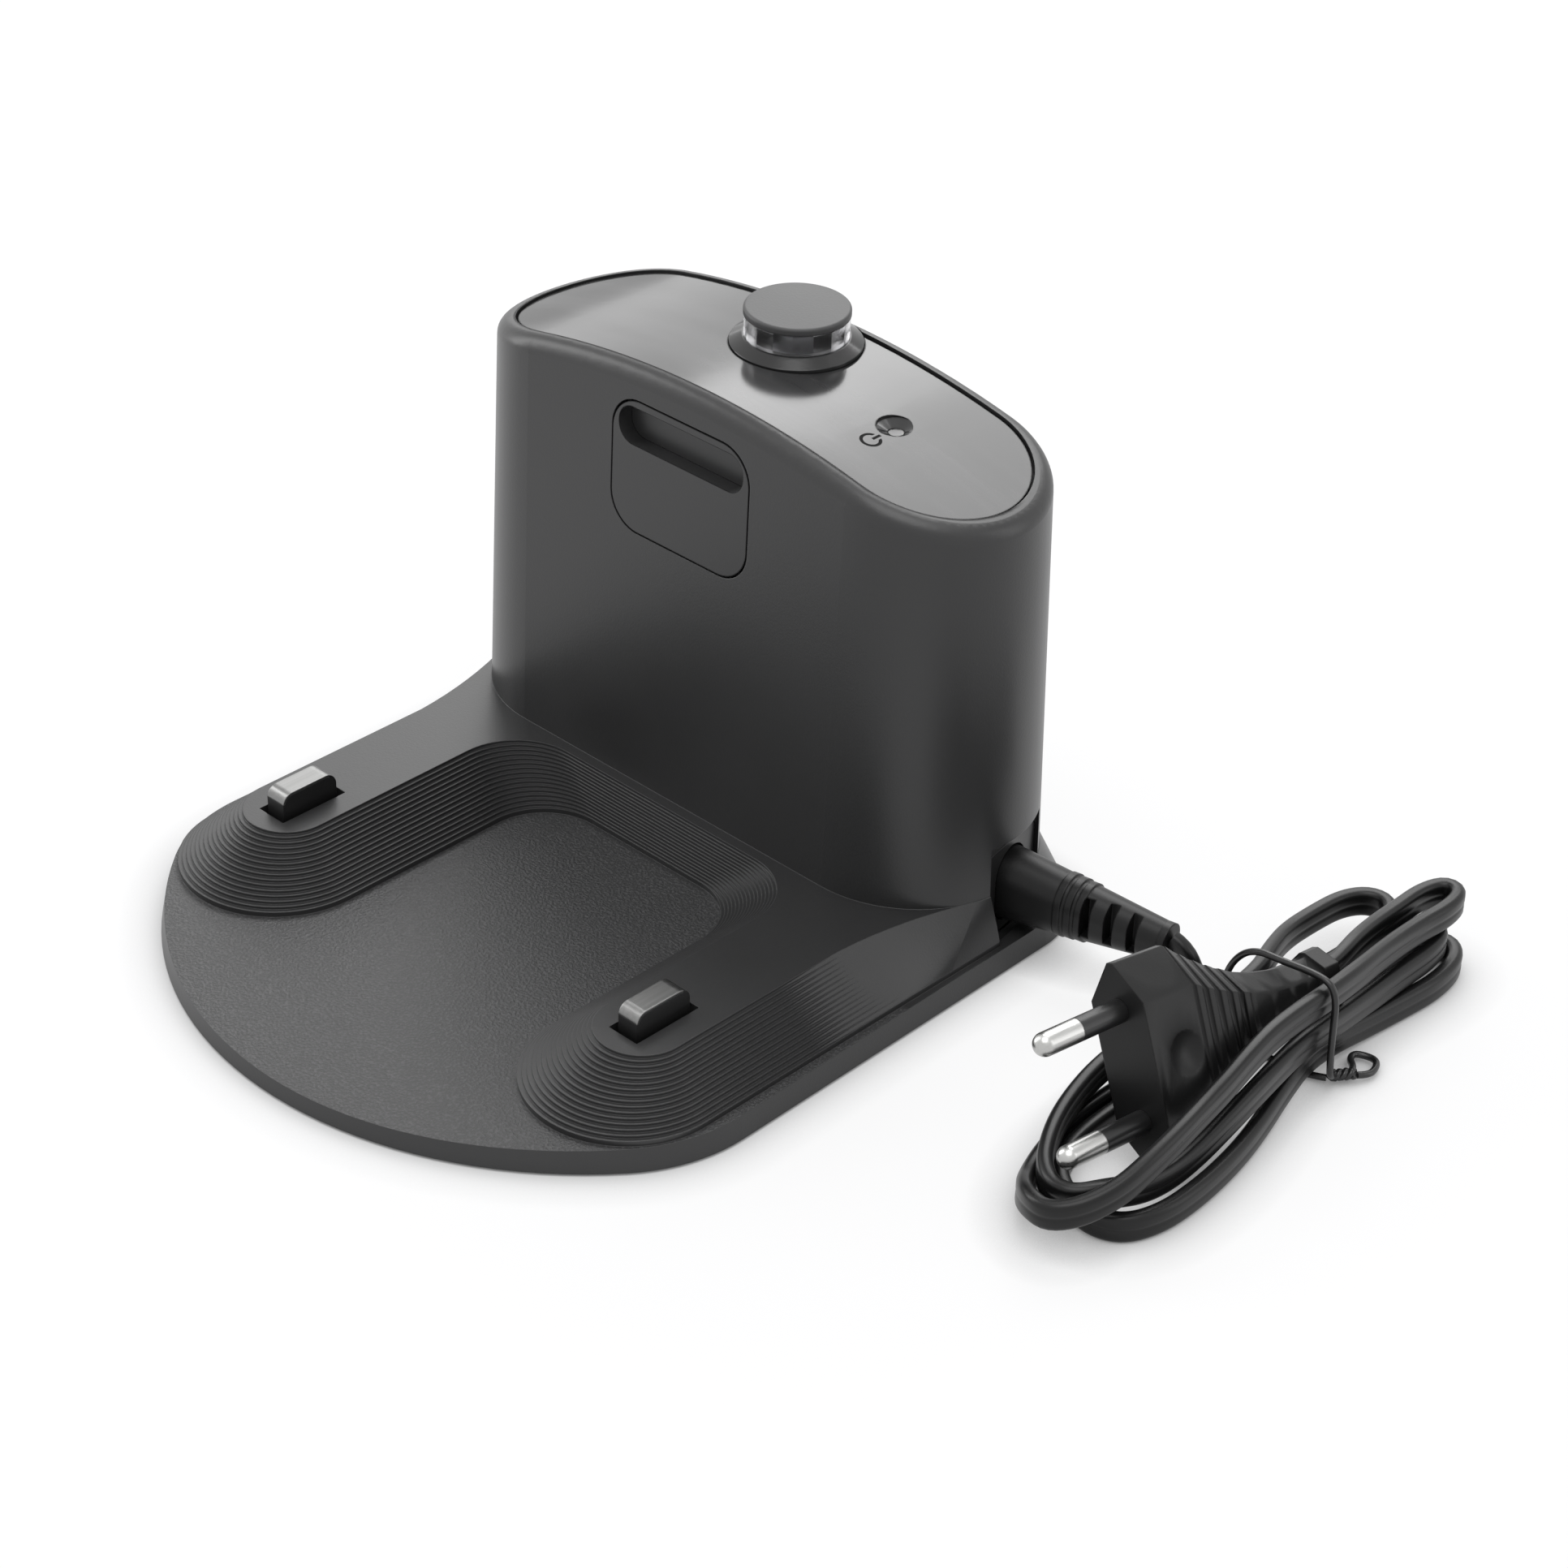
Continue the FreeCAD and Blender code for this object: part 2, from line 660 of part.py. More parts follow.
def inlet_pins_at(radius, start, length):
    rises = (-INLET_PIN_PITCH / 2, INLET_PIN_PITCH / 2)
    return [Part.makeCylinder(radius, length, Vector(start, 0, rise), Vector(1, 0, 0)) for rise in rises]


def inlet_parts():
    back = -INLET_DEPTH
    hole_width = CONNECTOR_WIDTH + 2 * CONNECTOR_GAP
    hole_tall = CONNECTOR_TALL + 2 * CONNECTOR_GAP
    socket = inlet_block(0, back, 0).cut(stadium_bar(hole_width, hole_tall, back + INLET_BACK_WALL, 1))
    socket = socket.cut(inlet_pins_at(INLET_PIN_RADIUS, back - 1, INLET_BACK_WALL + 2))
    pins = Part.makeCompound(inlet_pins_at(INLET_PIN_RADIUS, back, INLET_BACK_WALL + INLET_PIN_LENGTH))
    socket.Placement = inlet_place()
    pins.Placement = inlet_place()
    return socket, pins


def cord_connector():
    waist = CONNECTOR_GRIP
    end = CONNECTOR_LENGTH
    nose = stadium_bar(CONNECTOR_WIDTH, CONNECTOR_TALL, -CONNECTOR_NOSE, 0)
    grip_wires = [
        upright_stadium(CONNECTOR_WIDTH, CONNECTOR_TALL, 0),
        upright_stadium(CONNECTOR_WIDTH, CONNECTOR_WAIST_TALL, waist),
    ]
    relief_wires = [
        upright_stadium(CONNECTOR_WIDTH, CONNECTOR_WAIST_TALL, waist),
        upright_stadium(CONNECTOR_END_WIDTH, CONNECTOR_END_TALL, end),
    ]
    body = merged(nose, [Part.makeLoft(wires, True, True) for wires in (grip_wires, relief_wires)])
    rings = []
    for index in range(RING_COUNT):
        start = waist + index * RING_PITCH
        share = (start - waist) / (end - waist)
        width = mix(CONNECTOR_WIDTH, CONNECTOR_END_WIDTH, share) + RING_PROUD
        tall = mix(CONNECTOR_WAIST_TALL, CONNECTOR_END_TALL, share) + RING_PROUD
        rings.append(stadium_bar(width, tall, start, start + RING_WIDTH))
    bead_wide = CONNECTOR_END_WIDTH + RING_PROUD
    bead_tall = CONNECTOR_END_TALL + RING_PROUD
    bead = stadium_bar(bead_wide, bead_tall, end - RING_WIDTH, end)
    body = merged(body, rings + [bead])
    for index in range(RELIEF_SLOTS):
        middle = RELIEF_SLOT_FIRST + index * RELIEF_SLOT_PITCH
        for side in (-1, 1):
            start = middle - RELIEF_SLOT_WIDTH / 2
            reach = CONNECTOR_WIDTH
            left = RELIEF_SLOT_CORE if side > 0 else -RELIEF_SLOT_CORE - reach
            rise = -side * RELIEF_SLOT_CORE
            tall = CONNECTOR_END_TALL
            slot = Part.makeBox(RELIEF_SLOT_WIDTH, reach, tall, Vector(start, left, rise - tall / 2))
            body = body.cut(slot)
    hole = INLET_PIN_RADIUS + CONNECTOR_GAP
    holes = inlet_pins_at(hole, -CONNECTOR_NOSE - 1, INLET_PIN_LENGTH + 1)
    body = body.cut(holes)
    body.Placement = inlet_place()
    return body


# Housing: plate, ribbed deck, flanks and tower as one hollow moulding
def screw_places():
    back_y = TOWER_Y + TOWER_RADIUS - WALL - TOWER_BOSS_WALL
    places = []
    for _, side in SIDES:
        places.append((side * CONTACT_X, ARM_BOSS_Y, DECK_CEILING))
        places.append((side * TOWER_BOSS_X, back_y, FOOT_PROUD + TOWER_BOSS_TOP))
    return places


def board_post_places():
    ends = (MAIN_BOARD_LEFT + BOARD_POST_INSET, MAIN_BOARD_RIGHT - BOARD_POST_INSET)
    sides = (MAIN_BOARD_FRONT + BOARD_POST_INSET, MAIN_BOARD_BACK - BOARD_POST_INSET)
    return [(x, y) for x in ends for y in sides]


def light_post_places():
    reach = LIGHT_BOARD_LENGTH / 2 - BOARD_POST_INSET
    return [(side * reach, TOWER_Y) for _, side in SIDES]


def contact_slot(side, bottom, height):
    width = CONTACT_WIDTH + 2 * CONTACT_GAP
    length = CONTACT_LENGTH + 2 * CONTACT_GAP
    place = Vector(side * CONTACT_X - width / 2, CONTACT_Y - length / 2, bottom)
    return Part.makeBox(width, length, height, place)


def arm_channel(side):
    width = TOP_OUTER - TOP_INNER - 2 * DECK_WALL
    front = TOP_NOSE_Y - (TOP_OUTER - TOP_INNER) / 2 + DECK_WALL
    length = TOWER_Y - TOWER_RADIUS / 2 - front
    place = Vector(side * (TOP_OUTER + TOP_INNER) / 2, front + length / 2, FOOT_PROUD)
    return rounded_box(width, length, DECK_CEILING - FOOT_PROUD, width / 2 - FIT_GAP, place)


def upper_housing():
    body = merged(base_plate(), [ribbed_deck(), smooth_flank(1), smooth_flank(-1), tower_body()])
    cover_recess = prism(plate_outline(SKIRT_WALL, FOOT_PROUD), COVER_THICKNESS)
    cavity = drafted_stadium(WALL, FOOT_PROUD, CROWN).common(under_arch(CAVITY_CROWN, 0))
    body = body.cut([cover_recess, cavity, arm_channel(1), arm_channel(-1)])
    inside = []
    for x, y, top in screw_places():
        inside.append(disc(BOSS_RADIUS, top - COVER_TOP, x, y, COVER_TOP))
    for x, y in light_post_places():
        inside.append(disc(POST_RADIUS, FLOOR_CROWN - LIGHT_TOP, x, y, LIGHT_TOP))
    hull = under_arch(CAVITY_CROWN + RECESS_FLOOR / 2, 0)
    body = merged(body, [piece.common(hull) for piece in inside])
    cuts = [panel_slab(PANEL_RADIUS + PANEL_GROOVE, CROWN + 1, FLOOR_CROWN)]
    for x, y, top in screw_places():
        cuts.append(disc(SCREW_HOLE, SCREW_LENGTH, x, y, FOOT_PROUD))
    for x, y in light_post_places():
        cuts.append(disc(SCREW_HOLE, SCREW_LENGTH - BOARD_THICKNESS, x, y, LIGHT_TOP))
    for _, side in SIDES:
        cuts.append(contact_slot(side, DECK_CEILING - 1, DECK_WALL + 2))
    cuts.append(disc(EMITTER_STAND_RADIUS + CONTACT_GAP, CUT_RUN, 0, BEACON_Y, LIGHT_TOP))
    cuts.append(disc(COLLAR_RADIUS + PIPE_GAP, CUT_RUN, 0, BEACON_Y, COLLAR_BOTTOM))
    cuts.append(disc(PIPE_HOLE, CUT_RUN, DISH_X, TOWER_Y, LIGHT_TOP + STATUS_LED_HEIGHT))
    window = window_block(WINDOW_GROOVE, -2 * WALL, WALL, WINDOW_CORNER)
    window.Placement = window_place()
    notch = inlet_notch()
    notch.Placement = inlet_place()
    hole = inlet_block(FIT_GAP, -TOWER_RADIUS / 2, WALL)
    hole.Placement = inlet_place()
    body = body.cut(cuts + [window, notch, hole])
    return body.removeSplitter()


def foot_places():
    front = [(side * FRONT_FOOT_X, FRONT_FOOT_Y) for _, side in SIDES]
    back = [(side * BACK_FOOT_X, BACK_FOOT_Y) for _, side in SIDES]
    return front + back


def bottom_cover():
    cover = prism(plate_outline(SKIRT_WALL + FIT_GAP, FOOT_PROUD), COVER_THICKNESS)
    post = FOOT_PROUD + MAIN_BOARD_BOTTOM - COVER_TOP
    posts = [disc(POST_RADIUS, post, x, y, COVER_TOP) for x, y in board_post_places()]
    cover = merged(cover, posts)
    cuts = [disc(FOOT_RADIUS + FIT_GAP, FOOT_SINK, x, y, FOOT_PROUD) for x, y in foot_places()]
    for x, y, _ in screw_places():
        cuts.append(disc(SCREW_HEAD_RADIUS + SCREW_GAP, SCREW_HEAD_HEIGHT, x, y, FOOT_PROUD))
        cuts.append(disc(SCREW_HOLE, COVER_THICKNESS, x, y, FOOT_PROUD))
    for x, y in board_post_places():
        depth = SCREW_LENGTH - BOARD_THICKNESS
        cuts.append(disc(SCREW_HOLE, depth, x, y, FOOT_PROUD + MAIN_BOARD_BOTTOM - depth))
    return cover.cut(cuts)


def rubber_feet():
    return Part.makeCompound([disc(FOOT_RADIUS, FOOT_PROUD + FOOT_SINK, x, y, 0) for x, y in foot_places()])


def screw(x, y, z, direction):
    head = Part.makeCylinder(SCREW_HEAD_RADIUS, SCREW_HEAD_HEIGHT, Vector(x, y, z), UP * direction)
    place = Vector(x, y, z + direction * SCREW_HEAD_HEIGHT)
    shank = Part.makeCylinder(SCREW_RADIUS, SCREW_LENGTH - SCREW_HEAD_HEIGHT, place, UP * direction)
    return head.fuse(shank)


def housing_screws():
    screws = [screw(x, y, FOOT_PROUD, 1) for x, y, _ in screw_places()]
    screws += [screw(x, y, MAIN_BOARD_TOP + SCREW_HEAD_HEIGHT, -1) for x, y in board_post_places()]
    below = LIGHT_TOP - BOARD_THICKNESS - SCREW_HEAD_HEIGHT
    screws += [screw(x, y, below, 1) for x, y in light_post_places()]
    return Part.makeCompound(screws)


# Top panel, status light and beacon
def top_panel():
    panel = panel_slab(PANEL_RADIUS, PANEL_CROWN, FLOOR_CROWN)
    dish_top = PANEL_CROWN - DISH_X ** 2 / (2 * ARCH_RADIUS)
    dish = Part.makeCone(PIPE_HOLE, DISH_RADIUS, DISH_DEPTH, Vector(DISH_X, TOWER_Y, dish_top - DISH_DEPTH))
    funnel = disc(DISH_RADIUS, DISH_DEPTH, DISH_X, TOWER_Y, dish_top)
    pipe = disc(PIPE_HOLE, CUT_RUN, DISH_X, TOWER_Y, LIGHT_TOP)
    collar = disc(COLLAR_RADIUS + PIPE_GAP, CUT_RUN, 0, BEACON_Y, LIGHT_TOP)
    return panel.cut([dish, funnel, pipe, collar])


def status_light_pipe():
    bottom = LIGHT_TOP + STATUS_LED_HEIGHT + FIT_GAP
    top = PANEL_CROWN - DISH_X ** 2 / (2 * ARCH_RADIUS) - DISH_DEPTH
    return disc(PIPE_RADIUS, top - bottom, DISH_X, TOWER_Y, bottom)


def turned(points):
    corners = [Vector(radius, 0, z) for radius, z in points]
    face = Part.Face(Part.makePolygon(corners + corners[:1]))
    piece = face.revolve(Vector(), UP, 360)
    piece.translate(Vector(0, BEACON_Y, 0))
    return piece


def beacon_collar():
    seat = COLLAR_BOTTOM
    bore = LENS_RADIUS - LENS_SPIGOT + FIT_GAP
    points = [
        (bore, seat),
        (COLLAR_RADIUS, seat),
        (COLLAR_RADIUS, PANEL_CROWN + COLLAR_LIP),
        (COLLAR_TOP_RADIUS, COLLAR_TOP),
        (bore, COLLAR_TOP),
    ]
    return turned(points)


def beacon_lens():
    seat = COLLAR_TOP
    top = LENS_TOP
    spigot = LENS_RADIUS - LENS_SPIGOT
    inner = LENS_RADIUS - LENS_WALL - LENS_SPIGOT
    points = [
        (inner, seat - LENS_SPIGOT_DEPTH),
        (spigot, seat - LENS_SPIGOT_DEPTH),
        (spigot, seat),
        (LENS_RADIUS, seat),
        (LENS_RADIUS, top),
        (inner, top),
    ]
    return turned(points)


def beacon_cap():
    seat = LENS_TOP
    top = CAP_TOP
    spigot = LENS_RADIUS - LENS_WALL - LENS_SPIGOT - FIT_GAP
    points = [
        (0, seat - CAP_SPIGOT),
        (spigot, seat - CAP_SPIGOT),
        (spigot, seat),
        (CAP_RADIUS, seat),
        (CAP_RADIUS, top),
        (0, top),
    ]
    cap = turned(points)
    rim = [edge for edge in cap.Edges if edge.BoundBox.XLength > 2 * CAP_RADIUS - FIT_GAP]
    rim = [edge for edge in rim if edge.BoundBox.ZMin > top - FIT_GAP]
    return cap.makeFillet(CAP_EDGE, rim)


def beacon_emitter():
    stand_top = FLOOR_CROWN
    bulb_top = LENS_TOP - CAP_SPIGOT - EMITTER_DROP - EMITTER_RADIUS
    stand = disc(EMITTER_STAND_RADIUS, stand_top - LIGHT_TOP, 0, BEACON_Y, LIGHT_TOP)
    bulb = disc(EMITTER_RADIUS, bulb_top - stand_top, 0, BEACON_Y, stand_top)
    dome = Part.makeSphere(EMITTER_RADIUS, Vector(0, BEACON_Y, bulb_top), UP, 0, 90, 360)
    return merged(stand, [bulb, dome])


# Boards and the pieces on them
def light_board():
    bottom = LIGHT_TOP - BOARD_THICKNESS
    place = Vector(-LIGHT_BOARD_LENGTH / 2, LIGHT_BOARD_FRONT, bottom)
    board = Part.makeBox(LIGHT_BOARD_LENGTH, LIGHT_BOARD_DEPTH, BOARD_THICKNESS, place)
    return board.cut([disc(SCREW_HOLE, BOARD_THICKNESS, x, y, bottom) for x, y in light_post_places()])


def window_emitters():
    leds = []
    for place in (-1, 0, 1):
        back = LIGHT_BOARD_FRONT + WINDOW_LED_LENGTH
        foot = Vector(place * WINDOW_LED_PITCH, back, LIGHT_TOP + WINDOW_LED_RADIUS)
        body = Part.makeCylinder(WINDOW_LED_RADIUS, WINDOW_LED_LENGTH, foot, Vector(0, -1, 0))
        nose = foot - Vector(0, WINDOW_LED_LENGTH, 0)
        dome = Part.makeSphere(WINDOW_LED_RADIUS, nose, Vector(0, -1, 0), 0, 90, 360)
        leds.append(merged(body, [dome]))
    return Part.makeCompound(leds)


def status_led():
    side = STATUS_LED_SIDE
    corner = Vector(DISH_X - side / 2, TOWER_Y - side / 2, LIGHT_TOP)
    return Part.makeBox(side, side, STATUS_LED_HEIGHT, corner)


def main_board():
    bottom = FOOT_PROUD + MAIN_BOARD_BOTTOM
    length = MAIN_BOARD_RIGHT - MAIN_BOARD_LEFT
    corner = Vector(MAIN_BOARD_LEFT, MAIN_BOARD_FRONT, bottom)
    board = Part.makeBox(length, MAIN_BOARD_DEPTH, BOARD_THICKNESS, corner)
    return board.cut([disc(SCREW_HOLE, BOARD_THICKNESS, x, y, bottom) for x, y in board_post_places()])


def board_middle():
    return (MAIN_BOARD_FRONT + MAIN_BOARD_BACK) / 2


def transformer():
    place = Vector(TRANSFORMER_X, board_middle(), MAIN_BOARD_TOP)
    core = rounded_box(TRANSFORMER_CORE, TRANSFORMER_DEPTH, TRANSFORMER_HEIGHT, SMALL_CORNER, place)
    winding_bottom = place.z + TRANSFORMER_HEIGHT / 4
    winding = disc(TRANSFORMER_WINDING, TRANSFORMER_HEIGHT / 2, place.x, place.y, winding_bottom)
    return merged(core, [winding])


def capacitor(x, radius, height):
    can = disc(radius, height, x, board_middle(), MAIN_BOARD_TOP)
    top = [edge for edge in can.Edges if edge.BoundBox.ZMin > MAIN_BOARD_TOP + height - FIT_GAP]
    return can.makeFillet(CAP_EDGE, top)


# Charging contacts: a plastic slider with a bent metal strip, a coil spring and its seat
def nub_profile(inset):
    front = CONTACT_Y - CONTACT_LENGTH / 2 + inset
    back = CONTACT_Y + CONTACT_LENGTH / 2 - inset
    bottom = DECK_CEILING - FIT_GAP
    top = DECK_TOP + CONTACT_PROUD - inset
    front_radius = CONTACT_FRONT_RADIUS - inset
    back_radius = CONTACT_BACK_RADIUS - inset
    edges = [
        segment(Vector(0, front, bottom), Vector(0, front, top - front_radius)),
        short_arc(
            Vector(0, front + front_radius, top - front_radius),
            Vector(0, front, top - front_radius),
            Vector(0, front + front_radius, top),
        ),
        segment(Vector(0, front + front_radius, top), Vector(0, back - back_radius, top)),
        short_arc(
            Vector(0, back - back_radius, top - back_radius),
            Vector(0, back - back_radius, top),
            Vector(0, back, top - back_radius),
        ),
        segment(Vector(0, back, top - back_radius), Vector(0, back, bottom)),
        segment(Vector(0, back, bottom), Vector(0, front, bottom)),
    ]
    face = Part.Face(Part.Wire(edges))
    return face.extrude(Vector(CONTACT_WIDTH, 0, 0)).translate(Vector(-CONTACT_WIDTH / 2, 0, 0))


def contact_parts(side):
    outer = nub_profile(0)
    top = DECK_TOP + CONTACT_PROUD
    front = CONTACT_Y - CONTACT_LENGTH / 2
    length = CONTACT_LENGTH - STRIP_BACK
    place = Vector(-CONTACT_WIDTH / 2, front, top - STRIP_DROP)
    reach = Part.makeBox(CONTACT_WIDTH, length, STRIP_DROP, place)
    strip = outer.cut(nub_profile(STRIP_THICKNESS)).common(reach)
    width = CONTACT_WIDTH + 2 * (CONTACT_GAP + CONTACT_FLANGE)
    flange_length = CONTACT_LENGTH + 2 * (CONTACT_GAP + CONTACT_FLANGE)
    flange_top = DECK_CEILING - FIT_GAP
    flange_place = Vector(0, CONTACT_Y, flange_top - CONTACT_FLANGE_THICKNESS)
    flange = rounded_box(width, flange_length, CONTACT_FLANGE_THICKNESS, CONTACT_FRONT_RADIUS, flange_place)
    carrier = merged(outer.cut(strip), [flange])
    for piece in (strip, carrier):
        piece.translate(Vector(side * CONTACT_X, 0, 0))
    return carrier, strip


def spring_bottom():
    return COVER_TOP + TERMINAL_THICKNESS + SPRING_GAP


def contact_spring(side):
    bottom = spring_bottom()
    top = DECK_CEILING - FIT_GAP - CONTACT_FLANGE_THICKNESS - SPRING_GAP
    height = top - bottom - SPRING_WIRE
    middle = Vector(side * CONTACT_X, CONTACT_Y, bottom + SPRING_WIRE / 2)

    def coil_point(turn):
        angle = 2 * math.pi * turn
        reach = Vector(SPRING_RADIUS * math.cos(angle), SPRING_RADIUS * math.sin(angle), 0)
        return middle + reach + UP * (height * turn / SPRING_TURNS)

    arcs = []
    for step in range(SPRING_ARCS * SPRING_TURNS):
        points = [coil_point((step + share) / SPRING_ARCS) for share in (0, 0.5, 1)]
        arcs.append(Part.Arc(*points).toShape())
    start = arcs[0]
    ahead = start.tangentAt(start.FirstParameter)
    ring = Part.Wire(Part.makeCircle(SPRING_WIRE / 2, coil_point(0), ahead))
    return Part.Wire(arcs).makePipeShell([ring], True, False)


def contact_terminal(side):
    place = Vector(side * CONTACT_X, CONTACT_Y, COVER_TOP)
    seat = rounded_box(TERMINAL_SIDE, TERMINAL_SIDE, TERMINAL_THICKNESS, SMALL_CORNER, place)
    stud = disc(TERMINAL_STUD_RADIUS, TERMINAL_THICKNESS + TERMINAL_STUD_HEIGHT, place.x, place.y, place.z)
    return merged(seat, [stud])


# Leads and cords: straight runs joined by arcs as large as the runs allow
def cord_path(points, say):
    edges = []
    radii = []
    start = points[0]
    for before, corner, after in zip(points, points[1:], points[2:]):
        back = (before - corner).normalize()
        ahead = (after - corner).normalize()
        half_turn = (math.pi - back.getAngle(ahead)) / 2
        shorter = min((before - corner).Length, (after - corner).Length)
        reach = BEND_SHARE * shorter
        radii.append(reach / math.tan(half_turn))
        enter = corner + back * reach
        leave = corner + ahead * reach
        centre = corner + (back + ahead).normalize() * (radii[-1] / math.cos(half_turn))
        edges.append(segment(start, enter))
        edges.append(short_arc(centre, enter, leave))
        start = leave
    edges.append(segment(start, points[-1]))
    path = Part.Wire(edges)
    print(say, "length", round(path.Length, 1), "bend radii", [round(radius, 1) for radius in radii])
    return path


def tube(points, radius, say):
    path = cord_path(points, say)
    ring = Part.Wire(Part.makeCircle(radius, points[0], points[1] - points[0]))
    solid = path.makePipeShell([ring], True, True)
    share = solid.Volume / (math.pi * radius ** 2 * path.Length)
    print(say, "volume against section times length", round(share, 3))
    return solid


def contact_lead(side):
    start_y = CONTACT_Y + TERMINAL_SIDE / 2
    level = COVER_TOP + LEAD_RADIUS + FIT_GAP
    lane = side * (CONTACT_X - BOSS_RADIUS - LEAD_RADIUS - FIT_GAP)
    end_x = side * (MAIN_BOARD_RIGHT - LEAD_RADIUS)
    under = FOOT_PROUD + MAIN_BOARD_BOTTOM - LEAD_RADIUS - FIT_GAP
    board_edge = MAIN_BOARD_FRONT
    points = [
        Vector(side * CONTACT_X, start_y, level),
        Vector(side * CONTACT_X, start_y + LEAD_RUN, level),
        Vector(lane, start_y + LEAD_RUN + LEAD_CROSSING, level),
        Vector(lane, board_edge - LEAD_RUN / 2, level),
        Vector(mix(lane, end_x, LEAD_SLANT), board_edge + LEAD_RUN / 2, under - LEAD_RADIUS),
        Vector(end_x, board_edge + LEAD_RUN + LEAD_RUN / 2, under),
    ]
    return tube(points, LEAD_RADIUS, "contact lead")


# Plug frame: X across its thickness, Y across its width, Z along the pins
def plug_place():
    tilt = Rotation(Vector(1, 0, 0), PLUG_PITCH) * Rotation(Vector(0, 1, 0), PLUG_LEAN)
    turn = Rotation(UP, PLUG_YAW) * tilt
    return Placement(PLUG_PLACE, turn * Rotation(Vector(1, 0, 0), 90))


def plug_section(width, thickness, bevel, flat, z):
    half = width / 2
    deep = thickness / 2
    quarter = [(flat / 2, half), (deep, half - bevel)]
    corners = quarter + [(x, -y) for x, y in reversed(quarter)]
    corners += [(-x, -y) for x, y in quarter] + [(-x, y) for x, y in reversed(quarter)]
    points = [Vector(x, y, z) for x, y in corners]
    return Part.makePolygon(points + points[:1])


def neck_size(share):
    waist = (1 - share) ** 2
    width = mix(PLUG_TAIL_WIDTH, PLUG_WIDTH - 2 * PLUG_BODY_TAPER, waist)
    thickness = mix(PLUG_TAIL_THICKNESS, PLUG_THICKNESS - PLUG_BODY_TAPER, 1 - share)
    bevel = mix(PLUG_TAIL_THICKNESS / 3, PLUG_BEVEL, waist)
    return width, thickness, bevel


def plug_blank(grow):
    face = plug_section(PLUG_WIDTH + 2 * grow, PLUG_THICKNESS + 2 * grow, PLUG_BEVEL, PLUG_END_FLAT, 0)
    sections = [face]
    for step in range(PLUG_NECK_STEPS + 1):
        share = step / PLUG_NECK_STEPS
        wide, thick, edge = neck_size(share)
        level = -PLUG_BODY - share * PLUG_NECK
        sections.append(plug_section(wide + 2 * grow, thick + 2 * grow, edge, PLUG_END_FLAT, level))
    wide, thick, edge = neck_size(1)
    end = -PLUG_BODY - PLUG_NECK - PLUG_TAIL - grow
    sections.append(plug_section(wide + 2 * grow, thick + 2 * grow, edge, PLUG_END_FLAT, end))
    return Part.makeLoft(sections, True, True)


def mains_plug():
    end = -PLUG_BODY - PLUG_NECK - PLUG_TAIL
    body = plug_blank(0)
    ribs = []
    for index in range(PLUG_RIBS):
        behind = PLUG_RIB_WIDTH / 2 + index * PLUG_RIB_PITCH
        wide, thick, edge = neck_size(behind / PLUG_NECK)
        start = -PLUG_BODY - behind
        outline = plug_section(wide + PLUG_RIB_PROUD, thick + 2 * PLUG_RIB_PROUD, edge, PLUG_END_FLAT, start)
        ribs.append(Part.Face(outline).extrude(UP * -PLUG_RIB_WIDTH))
    wide, thick, edge = neck_size(1)
    grown = thick + PLUG_RIB_WIDTH
    collar = plug_section(wide + PLUG_RIB_WIDTH, grown, edge, PLUG_END_FLAT, end + PLUG_TAIL / 2)
    ribs.append(Part.Face(collar).extrude(UP * -(PLUG_TAIL / 2)))
    body = merged(body, ribs)
    ball = (PLUG_DIMPLE_RADIUS ** 2 + PLUG_DIMPLE_DEPTH ** 2) / (2 * PLUG_DIMPLE_DEPTH)
    for side in (-1, 1):
        middle = side * (PLUG_THICKNESS / 2 + ball - PLUG_DIMPLE_DEPTH - PLUG_BODY_TAPER / 2)
        body = body.cut(Part.makeSphere(ball, Vector(middle, 0, -PLUG_DIMPLE_BACK)))
    body.Placement = plug_place()
    return body


def plug_pin_parts():
    pins = []
    sleeves = []
    for side in (-1, 1):
        foot = Vector(0, side * PIN_PITCH / 2, 0)
        core = Part.makeCylinder(PIN_RADIUS - SLEEVE_THICKNESS, SLEEVE_LENGTH, foot)
        tip_length = PIN_LENGTH - SLEEVE_LENGTH - PIN_RADIUS
        tip = Part.makeCylinder(PIN_RADIUS, tip_length, foot + UP * SLEEVE_LENGTH)
        dome = Part.makeSphere(PIN_RADIUS, foot + UP * (SLEEVE_LENGTH + tip_length), UP, 0, 90, 360)
        pins.append(merged(core, [tip, dome]))
        sleeve = Part.makeCylinder(PIN_RADIUS, SLEEVE_LENGTH, foot)
        sleeves.append(sleeve.cut(Part.makeCylinder(PIN_RADIUS - SLEEVE_THICKNESS, SLEEVE_LENGTH, foot)))
    pins = Part.makeCompound(pins)
    sleeves = Part.makeCompound(sleeves)
    pins.Placement = plug_place()
    sleeves.Placement = plug_place()
    return pins, sleeves


# Lead from the connector to the hank, and from the hank to the plug
def cord_lead():
    place = inlet_place()
    out = place.Rotation.multVec(Vector(1, 0, 0))
    start = place.Base + out * CONNECTOR_LENGTH
    return tube([start, start + out * CORD_EXIT] + LEAD_TURNS, CORD_RADIUS, "cord lead")


def cord_tail():
    place = plug_place()
    back = place.Rotation.multVec(Vector(0, 0, -1))
    start = place.Base + back * (PLUG_BODY + PLUG_NECK + PLUG_TAIL)
    points = [
        start,
        start + back * CORD_RUN,
        start + back * 2 * CORD_RUN + Vector(1.5, 0, 0.5),
        start + back * 3 * CORD_RUN + Vector(4.5, 0, 1.5),
    ]
    return tube(points, CORD_RADIUS, "cord tail")


# Hank: the outer shape of the folded turns, open where the plug lies in them
def hank_outline():
    outline = Part.BSplineCurve()
    outline.interpolate(HANK_PLACES, PeriodicFlag=True)
    return Part.Wire(outline.toShape())


